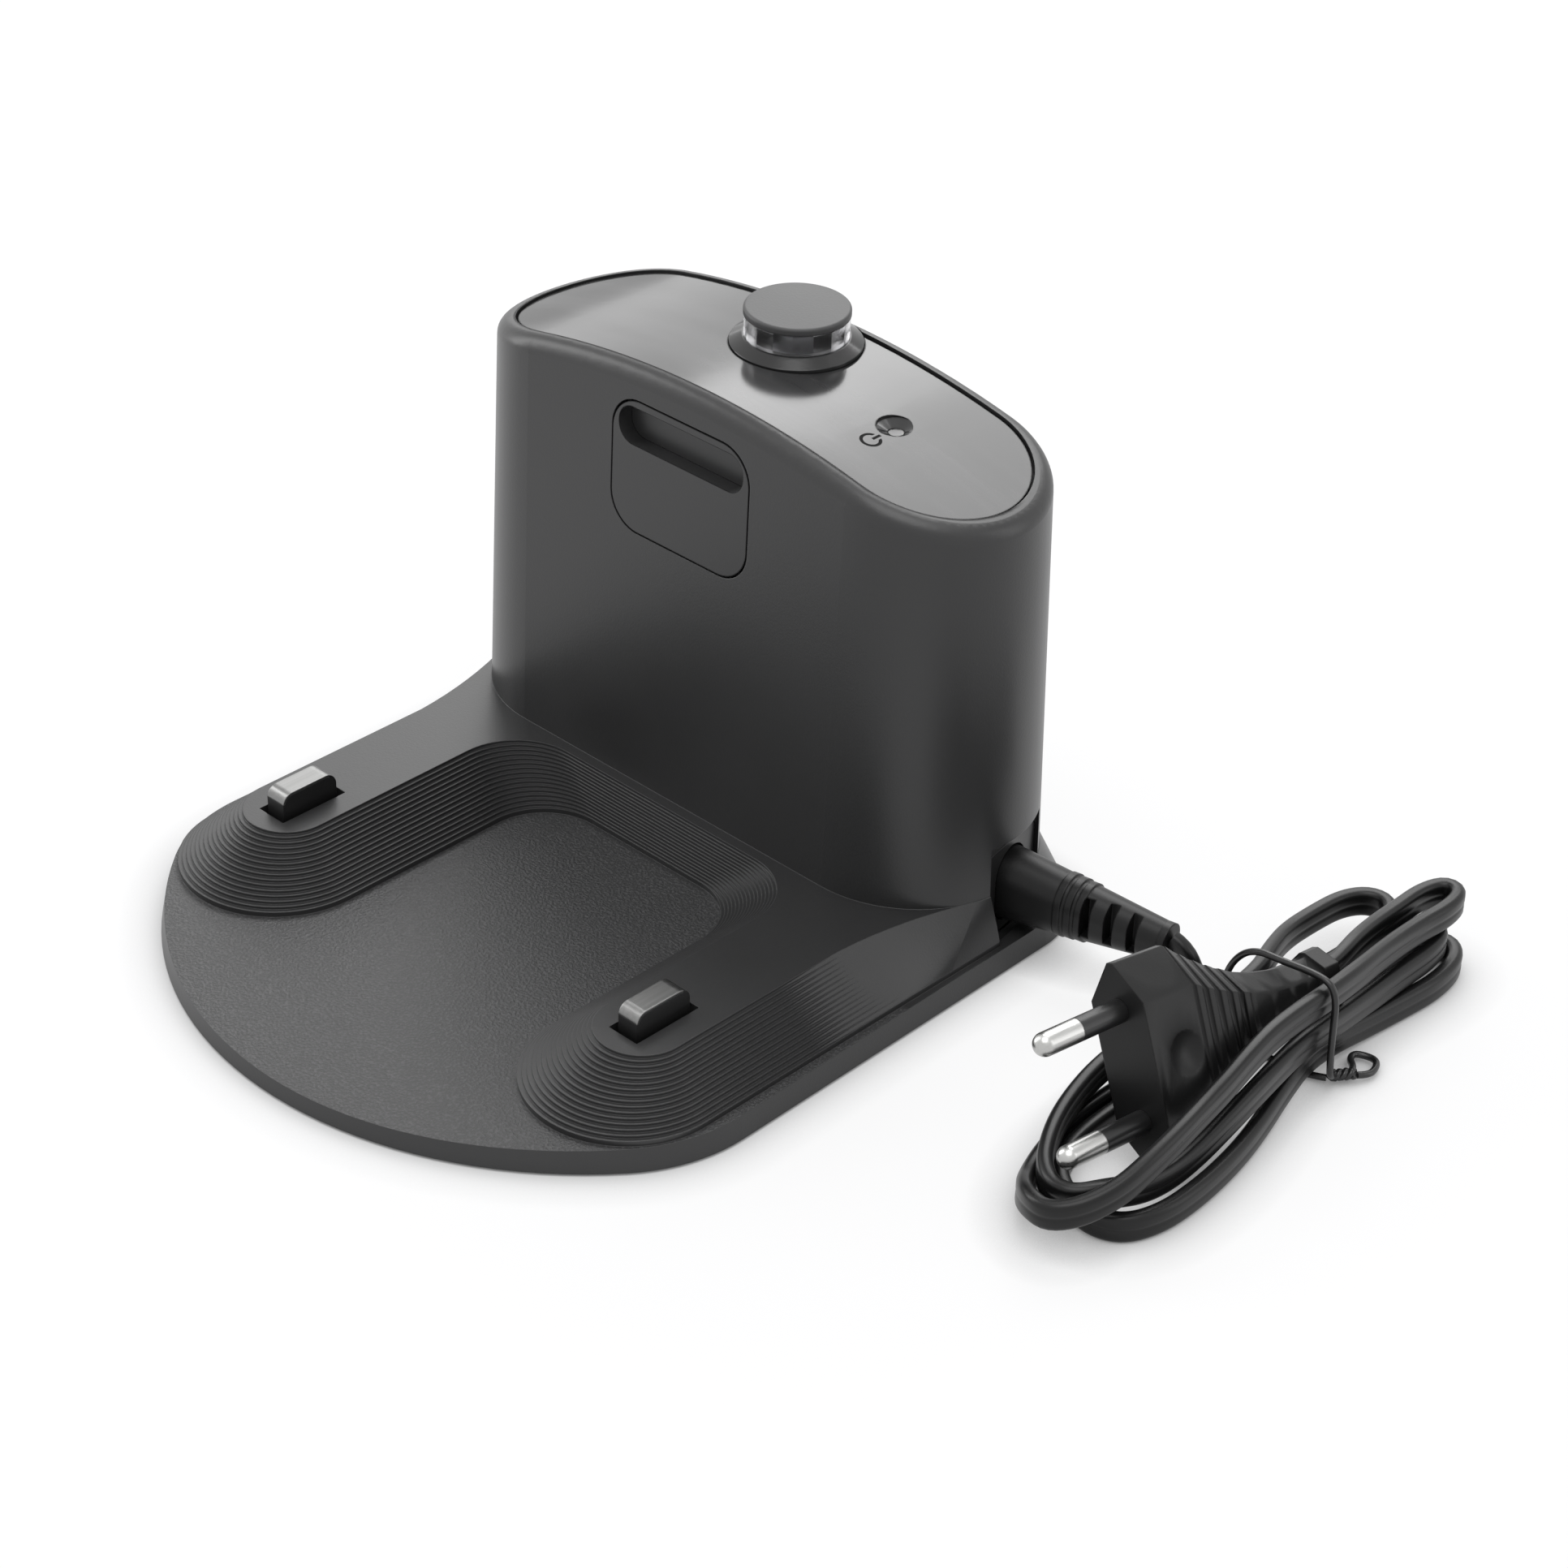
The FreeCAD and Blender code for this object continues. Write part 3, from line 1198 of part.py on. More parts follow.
def cord_hank():
    slab = prism(hank_outline(), TIE_TOP)
    box = slab.BoundBox
    waist = TIE_Y + PLUG_TAIL
    profile = [
        (box.YMin, box.ZMin),
        (box.YMin, HANK_FLOOR + HANK_FRONT_HEIGHT),
        (waist - HANK_BAY_WIDTH, HANK_FLOOR + HANK_WAIST_HEIGHT),
        (waist, HANK_FLOOR + HANK_WAIST_HEIGHT),
        (box.YMax, HANK_FLOOR + HANK_BACK_HEIGHT),
        (box.YMax, box.ZMin),
    ]
    corners = [Vector(box.XMin, y, z) for y, z in profile]
    side = Part.Face(Part.makePolygon(corners + corners[:1])).extrude(Vector(box.XLength, 0, 0))
    bay_place = Vector(HANK_BAY_X, HANK_BAY_Y, 0)
    bay = rounded_box(HANK_BAY_WIDTH, HANK_BAY_LENGTH, TIE_TOP, HANK_BAY_RADIUS, bay_place)
    neck = Vector(0, 0, -PLUG_BODY - PLUG_NECK / 2)
    tail = Part.makeCylinder(TAIL_ROOM, TAIL_ROOM_LENGTH, neck, UP * -1)
    tail.Placement = plug_place()
    wire = 3 * TIE_RADIUS
    groove = Part.makeBox(box.XLength, wire, TIE_BOTTOM + TIE_RADIUS, Vector(box.XMin, TIE_Y - wire / 2, 0))
    room = plug_blank(PLUG_ROOM)
    room.Placement = plug_place()
    return slab.common(side).cut([bay, room, tail, groove])


def cord_tie():
    left = TIE_LEFT
    right = TIE_RIGHT
    low = TIE_BOTTOM
    top = TIE_TOP
    corner = TIE_CORNER
    small = TIE_FOOT_CORNER
    spots = [
        (left, low, small),
        (right, low, small),
        (right, top, corner),
        (left, top, corner),
    ]
    edges = []
    starts = []
    for x, z, radius in spots:
        in_x = 1 if x == left else -1
        in_z = 1 if z == low else -1
        centre = Vector(x + in_x * radius, TIE_Y, z + in_z * radius)
        level = Vector(x + in_x * radius, TIE_Y, z)
        upright = Vector(x, TIE_Y, z + in_z * radius)
        starts.append((level, upright, centre))
    order = [(1, 0), (0, 1), (1, 0), (0, 1)]
    ends = []
    for (level, upright, centre), (first, second) in zip(starts, order):
        pair = (level, upright)
        ends.append((pair[first], pair[second], centre))
    for index, (enter, leave, centre) in enumerate(ends):
        edges.append(short_arc(centre, enter, leave))
        edges.append(segment(leave, ends[(index + 1) % len(ends)][0]))
    path = Part.Wire(edges)
    first = ends[0][0]
    direction = edges[0].tangentAt(edges[0].FirstParameter)
    ring = Part.Wire(Part.makeCircle(TIE_RADIUS, first, direction))
    loop = path.makePipeShell([ring], True, True)
    tail_start = Vector(right, TIE_Y, TIE_TAIL_HEIGHT)
    tail = Part.makeCylinder(TIE_TAIL_RADIUS, TIE_TAIL_LENGTH, tail_start, Vector(1, TIE_TAIL_TURN, 0))
    return merged(loop, [tail])


def build():
    os.makedirs("parts", exist_ok=True)
    save(upper_housing(), "upper_housing")
    save(bottom_cover(), "bottom_cover")
    save(rubber_feet(), "rubber_feet")
    save(housing_screws(), "housing_screws")
    save(top_panel(), "top_panel")
    save(status_light_pipe(), "status_light_pipe")
    save(beacon_collar(), "beacon_collar")
    save(beacon_lens(), "beacon_lens")
    save(beacon_cap(), "beacon_cap")
    save(beacon_emitter(), "beacon_emitter")
    save(emitter_window(), "emitter_window")
    save(light_board(), "light_board")
    save(window_emitters(), "window_emitters")
    save(status_led(), "status_led")
    save(main_board(), "main_board")
    save(transformer(), "transformer")
    save(capacitor(INPUT_CAP_X, INPUT_CAP_RADIUS, INPUT_CAP_HEIGHT), "input_capacitor")
    save(capacitor(OUTPUT_CAP_X, OUTPUT_CAP_RADIUS, OUTPUT_CAP_HEIGHT), "output_capacitor")
    for name, side in SIDES:
        carrier, strip = contact_parts(side)
        save(carrier, "contact_carrier_" + name)
        save(strip, "contact_strip_" + name)
        save(contact_spring(side), "contact_spring_" + name)
        save(contact_terminal(side), "contact_terminal_" + name)
        save(contact_lead(side), "contact_lead_" + name)
    socket, inlet_pins = inlet_parts()
    save(socket, "inlet_socket")
    save(inlet_pins, "inlet_pins")
    save(cord_connector(), "cord_connector")
    save(mains_plug(), "mains_plug")
    pins, sleeves = plug_pin_parts()
    save(pins, "plug_pins")
    save(sleeves, "plug_sleeves")
    save(cord_lead(), "cord_lead")
    save(cord_tail(), "cord_tail")
    save(cord_hank(), "cord_hank")
    save(cord_tie(), "cord_tie")


build()
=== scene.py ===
# %% [markdown]
# # A robot vacuum charging dock with its mains lead
# The dock is a ribbed base with a tower, moulded in dark satin plastic. The solids come from the CAD frame, in
# metres and in their places, so this lesson only dresses them. It adds the lead and the wire tie, trims the ribs of
# the plug, builds the faceted lens and gives every surface its finish.

# %% Load the solids
import json
import math

import bmesh
import bpy
from mathutils import Matrix, Vector


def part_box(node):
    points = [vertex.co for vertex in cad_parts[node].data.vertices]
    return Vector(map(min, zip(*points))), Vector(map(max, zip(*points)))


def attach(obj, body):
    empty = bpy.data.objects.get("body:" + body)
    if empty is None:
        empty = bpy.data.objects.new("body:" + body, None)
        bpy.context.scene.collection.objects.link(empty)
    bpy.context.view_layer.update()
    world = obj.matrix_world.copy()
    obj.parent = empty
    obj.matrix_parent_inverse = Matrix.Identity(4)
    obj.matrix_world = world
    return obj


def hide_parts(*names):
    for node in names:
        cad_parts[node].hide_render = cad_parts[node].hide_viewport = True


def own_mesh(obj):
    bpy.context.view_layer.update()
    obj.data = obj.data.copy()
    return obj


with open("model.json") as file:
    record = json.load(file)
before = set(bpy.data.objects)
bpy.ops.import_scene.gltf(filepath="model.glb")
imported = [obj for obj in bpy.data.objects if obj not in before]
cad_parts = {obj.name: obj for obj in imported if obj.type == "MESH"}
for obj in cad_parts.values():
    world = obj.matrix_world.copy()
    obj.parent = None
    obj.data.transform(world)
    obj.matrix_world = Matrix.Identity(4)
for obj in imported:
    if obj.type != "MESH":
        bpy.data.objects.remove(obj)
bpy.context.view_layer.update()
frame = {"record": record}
MM = 0.001

# %% [markdown]
# ## Camera
# The picture was taken from the right front and from well above the tower. A camera can be set by hand until it
# looks right, but here its place and turn were fitted to corners of the plate and the tower, so the three axes are
# written as directions: back towards the viewer, right and up, with a small roll.

# %% Set up the camera
CAMERA_ANGLES = (43.0, 33.21, 1.79)
CAMERA_PLACE = (392.54, -367.95, 380.61)
FOCAL_LENGTH, SENSOR_WIDTH = 86.73, 36


def placed(name, data):
    """A new object with the given data, linked into the scene."""
    made = bpy.data.objects.new(name, data)
    bpy.context.collection.objects.link(made)
    return made


azimuth, elevation, roll = (math.radians(angle) for angle in CAMERA_ANGLES)
back = Vector((math.sin(azimuth) * math.cos(elevation),
               -math.cos(azimuth) * math.cos(elevation),
               math.sin(elevation)))
right = Vector((math.cos(azimuth), math.sin(azimuth), 0))
up = back.cross(right)
rolled_right = right * math.cos(roll) + up * math.sin(roll)
rolled_up = up * math.cos(roll) - right * math.sin(roll)
camera_data = bpy.data.cameras.new("camera")
camera_data.lens = FOCAL_LENGTH
camera_data.sensor_width = SENSOR_WIDTH
camera = placed("camera", camera_data)
camera.matrix_world = Matrix((rolled_right, rolled_up, back)).transposed().to_4x4()
camera.matrix_world.translation = Vector(CAMERA_PLACE) * MM
bpy.context.scene.camera = camera
print("camera stands", round(camera.matrix_world.translation.length, 3), "m from the origin")

# %% [markdown]
# ## Writing shader maths as plain sums
# A finish is a small graph of nodes. Placing and linking each node by hand takes many lines, so one class wraps an
# output socket: plus, minus and times make Math nodes, and every other node comes from its one method, which takes
# the node's settings first and then its inputs.

# %% A socket that can be added and multiplied
class Flow:
    def __init__(self, tree, socket):
        self.tree = tree
        self.socket = socket

    def node(self, kind, settings, inputs, output=0):
        made = self.tree.nodes.new(kind)
        for name, value in settings.items():
            setattr(made, name, value)
        for name, value in inputs.items():
            if isinstance(value, Flow):
                self.tree.links.new(value.socket, made.inputs[name])
            else:
                made.inputs[name].default_value = value
        return Flow(self.tree, made.outputs[output])

    def math(self, operation, first, second=0.0, clamp=False):
        return self.node("ShaderNodeMath", {"operation": operation, "use_clamp": clamp}, {0: first, 1: second})

    def __add__(self, other):
        return self.math("ADD", self, other)

    def __sub__(self, other):
        return self.math("SUBTRACT", self, other)

    def __rsub__(self, other):
        return self.math("SUBTRACT", other, self)

    def __mul__(self, other):
        return self.math("MULTIPLY", self, other)

    def __abs__(self):
        return self.math("ABSOLUTE", self)

    def either(self, other):
        return self.math("MAXIMUM", self, other)

    def both(self, other):
        return self.math("MINIMUM", self, other)

    def below(self, edge, soft):
        """1 where this value is under the edge, 0 above it, with a soft step between."""
        return self.math("DIVIDE", edge - self, soft, clamp=True)

    def above(self, edge, soft):
        """1 where this value is over the edge, 0 under it, with a soft step between."""
        return self.math("DIVIDE", self - edge, soft, clamp=True)

    def rising(self, start, gain):
        """0 up to a start, and from there up to 1 by a gain."""
        return self.math("MULTIPLY", self - start, gain, clamp=True)

    def noise(self, scale, detail=2.0):
        return self.node("ShaderNodeTexNoise", {}, {"Vector": self, "Scale": scale, "Detail": detail})

    def axes(self):
        parts = self.node("ShaderNodeSeparateXYZ", {}, {0: self}).socket.node
        return [Flow(self.tree, output) for output in parts.outputs]

    def stretched(self, scale):
        return self.node("ShaderNodeMapping", {}, {"Vector": self, "Scale": scale})

    def tint(self, low, high):
        """A colour between two greys or colours, by this value."""
        colours = {0: self, 6: (*low, 1.0), 7: (*high, 1.0)}
        return self.node("ShaderNodeMix", {"data_type": "RGBA"}, colours, 2)

    def over(self, under, colour):
        """This mask lays a colour over another one."""
        return self.node("ShaderNodeMix", {"data_type": "RGBA"}, {0: self, 6: under, 7: (*colour, 1.0)}, 2)


print("a Flow has", sum(callable(value) for value in vars(Flow).values()), "methods")

# %% [markdown]
# ## One finish
# Each material of the dock is one Principled shader, fed by a few flows. A small class holds the two together. It
# bumps the surface with a grain, and it can lay a second shader over the first. A Bevel modifier would change the
# solids, so the Bevel node softens their sharp edges in the shading alone, as a mould's small radii would. The same
# node finds the edges: there the rounded normal leans away from the flat one.

# %% A class for finishes
BEVEL_SAMPLES = 6


class Finish:
    def __init__(self, name, **constants):
        self.material = bpy.data.materials.new(name)
        self.material.use_nodes = True
        tree = self.material.node_tree
        self.shader = tree.nodes["Principled BSDF"]
        coordinates = tree.nodes.new("ShaderNodeTexCoord")
        self.place = Flow(tree, coordinates.outputs["Object"])
        for socket, value in constants.items():
            self.shader.inputs[socket.replace("_", " ")].default_value = value

    def feed(self, socket, flow):
        flow.tree.links.new(flow.socket, self.shader.inputs[socket])

    def rounded(self, radius):
        """The normal, turned softly round the edges."""
        return self.place.node("ShaderNodeBevel", {"samples": BEVEL_SAMPLES}, {"Radius": radius})

    def grain(self, height, depth, edge):
        """Bump from a height, over a normal with softened edges."""
        inputs = {"Height": height, "Distance": depth, "Strength": 1.0}
        if edge:
            inputs["Normal"] = self.rounded(edge)
        self.feed("Normal", self.place.node("ShaderNodeBump", {}, inputs))

    def edges(self, radius):
        """0 on open faces and more towards the edges, from normals rounded over a radius."""
        normals = {0: self.rounded(radius), 1: self.place.node("ShaderNodeNewGeometry", {}, {}, "Normal")}
        return 1.0 - self.place.node("ShaderNodeVectorMath", {"operation": "DOT_PRODUCT"}, normals, "Value")

    def covered(self, mask, cover):
        """Shows another shader wherever the mask is 1."""
        tree = self.material.node_tree
        own = Flow(tree, self.shader.outputs[0])
        mixed = self.place.node("ShaderNodeMixShader", {}, {0: mask, 1: own, 2: cover})
        tree.links.new(mixed.socket, tree.nodes["Material Output"].inputs["Surface"])

    def dulled(self, mask):
        """Shows a dull black wherever the mask is 1."""
        black = {"Base Color": (0.004, 0.004, 0.004, 1.0), "Roughness": 0.7, "Specular IOR Level": 0.1}
        self.covered(mask, self.place.node("ShaderNodeBsdfPrincipled", {}, black))


print("a finish can be given:", ", ".join(name for name in vars(Finish) if not name.startswith("_")))

# %% [markdown]
# ## A moulded finish
# Every moulded piece shares the same make-up: a colour that drifts slightly, a roughness that drifts with it, and a
# fine grain from the mould's surface. One helper wires that and hands back the finish, so that a piece with more to
# it, such as the window with its dark joint, can build on it.

# %% A helper for moulded finishes
DRIFT_SCALE, DRIFT_DETAIL, ROUGH_SWING = 38.0, 3.0, 0.12


def grey(value):
    """A grey with a trace of blue."""
    return (value, value, value * 1.02)


def moulded(name, dark, pale, rough, grain_size, grain_depth, edge, **constants):
    finish = Finish(name, **constants)
    drift = finish.place.noise(DRIFT_SCALE, DRIFT_DETAIL)
    finish.feed("Base Color", drift.tint(dark, pale))
    finish.feed("Roughness", drift * ROUGH_SWING + (rough - ROUGH_SWING / 2))
    finish.grain(finish.place.noise(1 / grain_size), grain_depth, edge)
    return finish


print("moulded finishes take a grain size, a grain depth and an edge radius in metres")

# %% [markdown]
# ## The mains lead
# The lead is a flat twin cord, 5.2 mm wide and 2.7 mm thick, with a groove where its two cores meet. It leaves the
# connector, drops to the ground and lies folded in a hank: four loops at the back, three at the front, and the plug
# on top. A cord simulation would fold it in its own way, so its line is drawn as one smooth spline. The control
# points below follow it from the connector to the plug, in millimetres, one list for each stretch.

# %% The route of the lead
from_connector = [
    (87.9, 55.1, 12.5), (90.2, 55.4, 11.8), (91.6, 55.8, 8.4), (93.0, 56.8, 5.0), (95.8, 59.8, 3.2),
    (99.8, 66.0, 2.8), (102.7, 73.2, 3.2), (104.8, 80.5, 4.6), (106.0, 87.0, 6.4)]
short_back_loop = [
    (106.3, 92.6, 7.4), (103.6, 96.0, 7.8), (99.6, 95.4, 7.8), (97.0, 91.0, 7.8), (96.4, 84.0, 7.8),
    (96.6, 76.0, 8.2), (99.2, 68.0, 9.6), (101.8, 61.5, 10.4), (102.2, 55.0, 9.8)]
raised_left_strand = [
    (101.0, 47.0, 9.2), (98.9, 39.0, 8.1), (97.8, 31.0, 7.9), (98.6, 23.0, 7.9), (100.2, 16.0, 7.9),
    (102.4, 9.4, 7.9), (105.4, 3.4, 8.0), (108.8, -1.6, 8.0), (113.0, -4.6, 8.0), (117.0, -4.0, 8.2)]
inner_right_strand = [
    (119.6, 0.6, 8.4), (121.4, 7.2, 6.4), (121.9, 13.6, 5.7), (122.1, 20.5, 6.7), (122.0, 28.0, 8.7),
    (121.5, 35.0, 10.0), (120.5, 42.0, 10.4), (119.4, 49.0, 10.4), (118.8, 56.0, 10.0)]
middle_back_loop = [
    (118.2, 64.0, 9.2), (117.4, 73.0, 8.2), (117.0, 82.0, 7.8), (117.0, 89.6, 7.8), (115.6, 95.2, 7.8),
    (111.9, 95.8, 7.8), (110.1, 90.6, 7.8), (110.3, 82.0, 7.8), (110.6, 74.0, 7.6), (109.8, 66.0, 6.0),
    (108.6, 58.5, 4.8)]
floor_strand = [
    (107.0, 50.5, 4.4), (105.2, 42.0, 3.0), (104.0, 33.0, 2.6), (103.6, 24.0, 2.6), (103.8, 15.0, 2.6),
    (105.0, 8.4, 2.6), (108.4, 3.2, 2.6), (113.0, 0.6, 2.6), (118.6, -0.4, 2.6), (123.2, 2.0, 2.6)]
outer_right_strand = [
    (125.4, 8.4, 2.6), (125.5, 16.0, 2.6), (124.8, 23.5, 2.6), (123.5, 31.0, 2.6), (121.6, 38.5, 2.8),
    (119.4, 46.5, 3.7), (117.6, 54.5, 4.6)]
lowest_back_loop = [
    (117.0, 63.0, 3.8), (117.4, 72.0, 2.8), (118.3, 81.0, 2.6), (119.1, 89.5, 2.6), (117.8, 97.4, 2.6),
    (113.8, 100.6, 2.6), (110.0, 97.4, 2.6), (109.2, 89.5, 2.6), (108.6, 81.0, 2.6), (107.5, 72.0, 2.6),
    (106.0, 63.5, 3.8), (104.4, 55.5, 4.6)]
left_floor_strand = [
    (102.9, 47.5, 3.7), (101.4, 39.0, 2.6), (100.5, 30.0, 2.6), (100.2, 21.0, 2.6), (100.7, 13.0, 2.6),
    (102.4, 5.8, 2.7), (105.2, -1.0, 3.4), (108.6, -6.0, 6.0)]
raised_front_loop = [
    (112.6, -9.4, 8.2), (117.0, -10.4, 8.6), (120.8, -6.8, 9.6), (123.1, -0.4, 11.2), (123.4, 6.6, 13.0),
    (123.0, 13.8, 14.2), (122.0, 21.0, 14.8), (121.5, 27.4, 16.0), (120.5, 34.1, 17.0), (119.6, 41.0, 17.6),
    (119.3, 48.8, 17.6), (119.2, 57.0, 17.3)]
top_back_loop = [
    (118.3, 66.0, 16.5), (116.3, 77.0, 14.7), (115.6, 87.0, 13.8), (116.2, 94.8, 13.7), (115.0, 100.0, 13.5),
    (111.4, 100.6, 13.3), (109.5, 96.0, 13.1), (109.6, 89.0, 13.0), (109.9, 82.0, 13.4), (111.0, 75.5, 14.2),
    (112.1, 70.5, 14.4), (112.5, 67.0, 13.9), (112.4, 63.2, 13.7)]
lead_route = (from_connector + short_back_loop + raised_left_strand + inner_right_strand + middle_back_loop
              + floor_strand + outer_right_strand + lowest_back_loop + left_floor_strand + raised_front_loop
              + top_back_loop)
print("the lead's route has", len(lead_route), "points")

# %% [markdown]
# A NURBS spline takes these points as its control points and rounds them off by itself, as a cord does. Its order
# and its end points are set after the points are there. Reading the curve back without any thickness gives points
# along its line, which tell its true length.

# %% A smooth line through the route
CURVE_STEPS, CURVE_ORDER = 10, 3
CLOSEST_POINTS = 0.3 * MM


def smooth_line(name, points):
    curve = bpy.data.curves.new(name, "CURVE")
    curve.dimensions = "3D"
    curve.resolution_u = CURVE_STEPS
    spline = curve.splines.new("NURBS")
    spline.points.add(len(points) - 1)
    for knot, point in zip(spline.points, points):
        knot.co = (*(Vector(point) * MM), 1.0)
    spline.order_u = CURVE_ORDER
    spline.use_endpoint_u = True
    return placed(name, curve)


def points_along(line):
    bpy.context.view_layer.update()
    graph = bpy.context.evaluated_depsgraph_get()
    drawn = bpy.data.meshes.new_from_object(line.evaluated_get(graph))
    points = [drawn.vertices[0].co.copy()]
    for vertex in drawn.vertices:
        if (vertex.co - points[-1]).length > CLOSEST_POINTS:
            points.append(vertex.co.copy())
    bpy.data.meshes.remove(drawn)
    return points


lead_line = smooth_line("lead_line", lead_route)
lead_points = points_along(lead_line)

# %% [markdown]
# The lead's section is drawn as a closed outline: a quarter of it is written out, from the groove in the middle of
# the wide side, along the flat and round the edge, and the other three quarters are its mirror images.

# %% The section of the lead
LEAD_WIDE, LEAD_THICK, LEAD_EDGE, LEAD_GROOVE = 5.2, 2.7, 1.1, 0.12
GROOVE_STEPS = ((1.0, 0.0), (0.7, 0.22), (0.15, 0.45), (0.0, 0.75))
EDGE_STEPS = 5


def closed_section(name, points):
    curve = bpy.data.curves.new(name, "CURVE")
    curve.dimensions = "3D"
    spline = curve.splines.new("POLY")
    spline.points.add(len(points) - 1)
    for knot, (across, high) in zip(spline.points, points):
        knot.co = (across * MM, high * MM, 0.0, 1.0)
    spline.use_cyclic_u = True
    return placed(name, curve)


side, top = LEAD_THICK / 2, LEAD_WIDE / 2
quarter = [(side - share * LEAD_GROOVE, high) for share, high in GROOVE_STEPS]
for step in range(EDGE_STEPS + 1):
    turn = math.radians(90 / EDGE_STEPS * step)
    quarter.append((side - LEAD_EDGE + LEAD_EDGE * math.cos(turn), top - LEAD_EDGE + LEAD_EDGE * math.sin(turn)))
upper = quarter + [(-across, high) for across, high in reversed(quarter)]
lead_outline = upper + [(across, -high) for across, high in reversed(upper[1:-1])]
lead_section = closed_section("lead_section", lead_outline)
print("the lead's section has", len(lead_outline), "points")

# %% [markdown]
# A sweep can be written in mesh code, but Geometry Nodes have it ready: resample the route, keep its normals level
# so that the wide side stands upright, carry the section along it and close the ends. The same tree also makes the
# wire tie, so the route, the section, the spacing and the finish are its inputs.

# %% A tree that sweeps a section along a route
SWEEP_INPUTS = {"Route": "Object", "Section": "Object", "Spacing": "Float", "Finish": "Material"}
SWEEP_STEPS = ("ObjectInfo", "ResampleCurve", "SetCurveNormal", "CurveToMesh", "SetShadeSmooth",
               "RealizeInstances", "SetMaterial")


def sweep_tree():
    tree = bpy.data.node_groups.new("sweep a section along a route", "GeometryNodeTree")
    for name, kind in SWEEP_INPUTS.items():
        tree.interface.new_socket(name, in_out="INPUT", socket_type="NodeSocket" + kind)
    tree.interface.new_socket("Geometry", in_out="OUTPUT", socket_type="NodeSocketGeometry")
    given = tree.nodes.new("NodeGroupInput")
    chain = {name: tree.nodes.new("GeometryNode" + name) for name in SWEEP_STEPS}
    section = tree.nodes.new("GeometryNodeObjectInfo")
    result = tree.nodes.new("NodeGroupOutput")
    chain["ResampleCurve"].mode = "LENGTH"
    chain["SetCurveNormal"].mode = "Z_UP"
    chain["CurveToMesh"].inputs["Fill Caps"].default_value = True
    link = tree.links.new
    link(given.outputs["Route"], chain["ObjectInfo"].inputs["Object"])
    link(given.outputs["Section"], section.inputs["Object"])
    link(given.outputs["Spacing"], chain["ResampleCurve"].inputs["Length"])
    link(given.outputs["Finish"], chain["SetMaterial"].inputs["Material"])
    link(section.outputs["Geometry"], chain["CurveToMesh"].inputs["Profile Curve"])
    steps = list(chain.values())
    for before, after in zip(steps, steps[1:] + [result]):
        link(before.outputs[-1], after.inputs[0])
    return tree


sweep = sweep_tree()
print("the sweep has", len(sweep.nodes), "nodes")

# %% [markdown]
# The tree is hung on an empty mesh object as a modifier. A modifier could stay live, but the lead's mesh is final, so
# the mesh that it makes is read back and the modifier and its helper curves go. The faces are then turned outward.

# %% Sweep one piece
def outward(piece):
    shell = bmesh.new()
    shell.from_mesh(piece.data)
    bmesh.ops.recalc_face_normals(shell, faces=shell.faces)
    shell.to_mesh(piece.data)
    shell.free()
    return piece


def swept(name, route, section, spacing, finish):
    piece = placed(name, bpy.data.meshes.new(name))
    modifier = piece.modifiers.new("sweep", "NODES")
    modifier.node_group = sweep
    given = {"Route": route, "Section": section, "Spacing": spacing, "Finish": finish.material}
    for item in sweep.interface.items_tree:
        if item.in_out == "INPUT":
            modifier[item.identifier] = given[item.name]
    bpy.context.view_layer.update()
    graph = bpy.context.evaluated_depsgraph_get()
    made = bpy.data.meshes.new_from_object(piece.evaluated_get(graph))
    piece.modifiers.remove(modifier)
    piece.data = made
    return outward(piece)


def taken_away(*helpers):
    for helper in helpers:
        bpy.data.objects.remove(helper)


print("a sweep takes", ", ".join(SWEEP_INPUTS))

# %% [markdown]
# The lead's jacket is soft black vinyl, pressed out of a die and nearly without grain, so light runs along its edges
# as a bright line. A clear coat could draw that line too, but a middling roughness keeps it soft, as vinyl's is. The
# grain is kept shallow, or the line would break up.

# %% The lead and its vinyl
LEAD_SPACING = 1.0 * MM
lead_vinyl = moulded("lead_vinyl", grey(0.006), grey(0.010), rough=0.34, grain_size=0.0006, grain_depth=0.000008,
                     edge=0.0, Specular_IOR_Level=0.3)
mains_lead = swept("mains_lead", lead_line, lead_section, LEAD_SPACING, lead_vinyl)
taken_away(lead_section, lead_line)
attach(mains_lead, "dock")
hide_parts("cord_lead", "cord_tail", "cord_hank")
print("the lead has", len(mains_lead.data.polygons), "faces")

# %% [markdown]
# ## The wire tie
# A length of coated wire goes once round the hank. Its ends are twisted together on the right, near the floor, and
# left as a small open loop. The round turn and the loop are one smooth line each. The twist could be drawn by hand
# too, but two strands that wind round each other are a circle carried along a line, so they are worked out.

# %% The tie's wire
tie_round = [
    (121.6, 57.6, 2.2), (122.2, 55.6, 2.6), (122.2, 55.0, 6.0), (121.9, 55.0, 12.5), (121.9, 55.0, 18.2),
    (120.6, 55.0, 21.4), (116.6, 55.0, 21.6), (111.0, 55.0, 20.8), (104.6, 55.0, 20.2), (100.6, 55.0, 15.6),
    (99.2, 55.0, 9.0), (99.6, 55.0, 2.0), (103.0, 55.0, 0.7), (110.0, 55.0, 0.7), (117.0, 55.6, 0.7),
    (120.4, 57.2, 1.0)]
tie_loop = [
    (124.0, 60.8, 1.6), (125.2, 62.6, 1.3), (124.6, 65.4, 1.1), (123.4, 67.0, 1.1), (121.2, 66.6, 1.1),
    (119.8, 65.4, 1.3), (120.6, 63.2, 1.7), (122.6, 61.6, 2.2), (123.2, 60.2, 2.4)]
TIE_RADIUS, TIE_SIDES, TIE_SPACING = 0.6, 12, 0.5 * MM
TWIST_START, TWIST_END = Vector((120.9, 57.2, 1.7)), Vector((123.6, 60.6, 1.9))
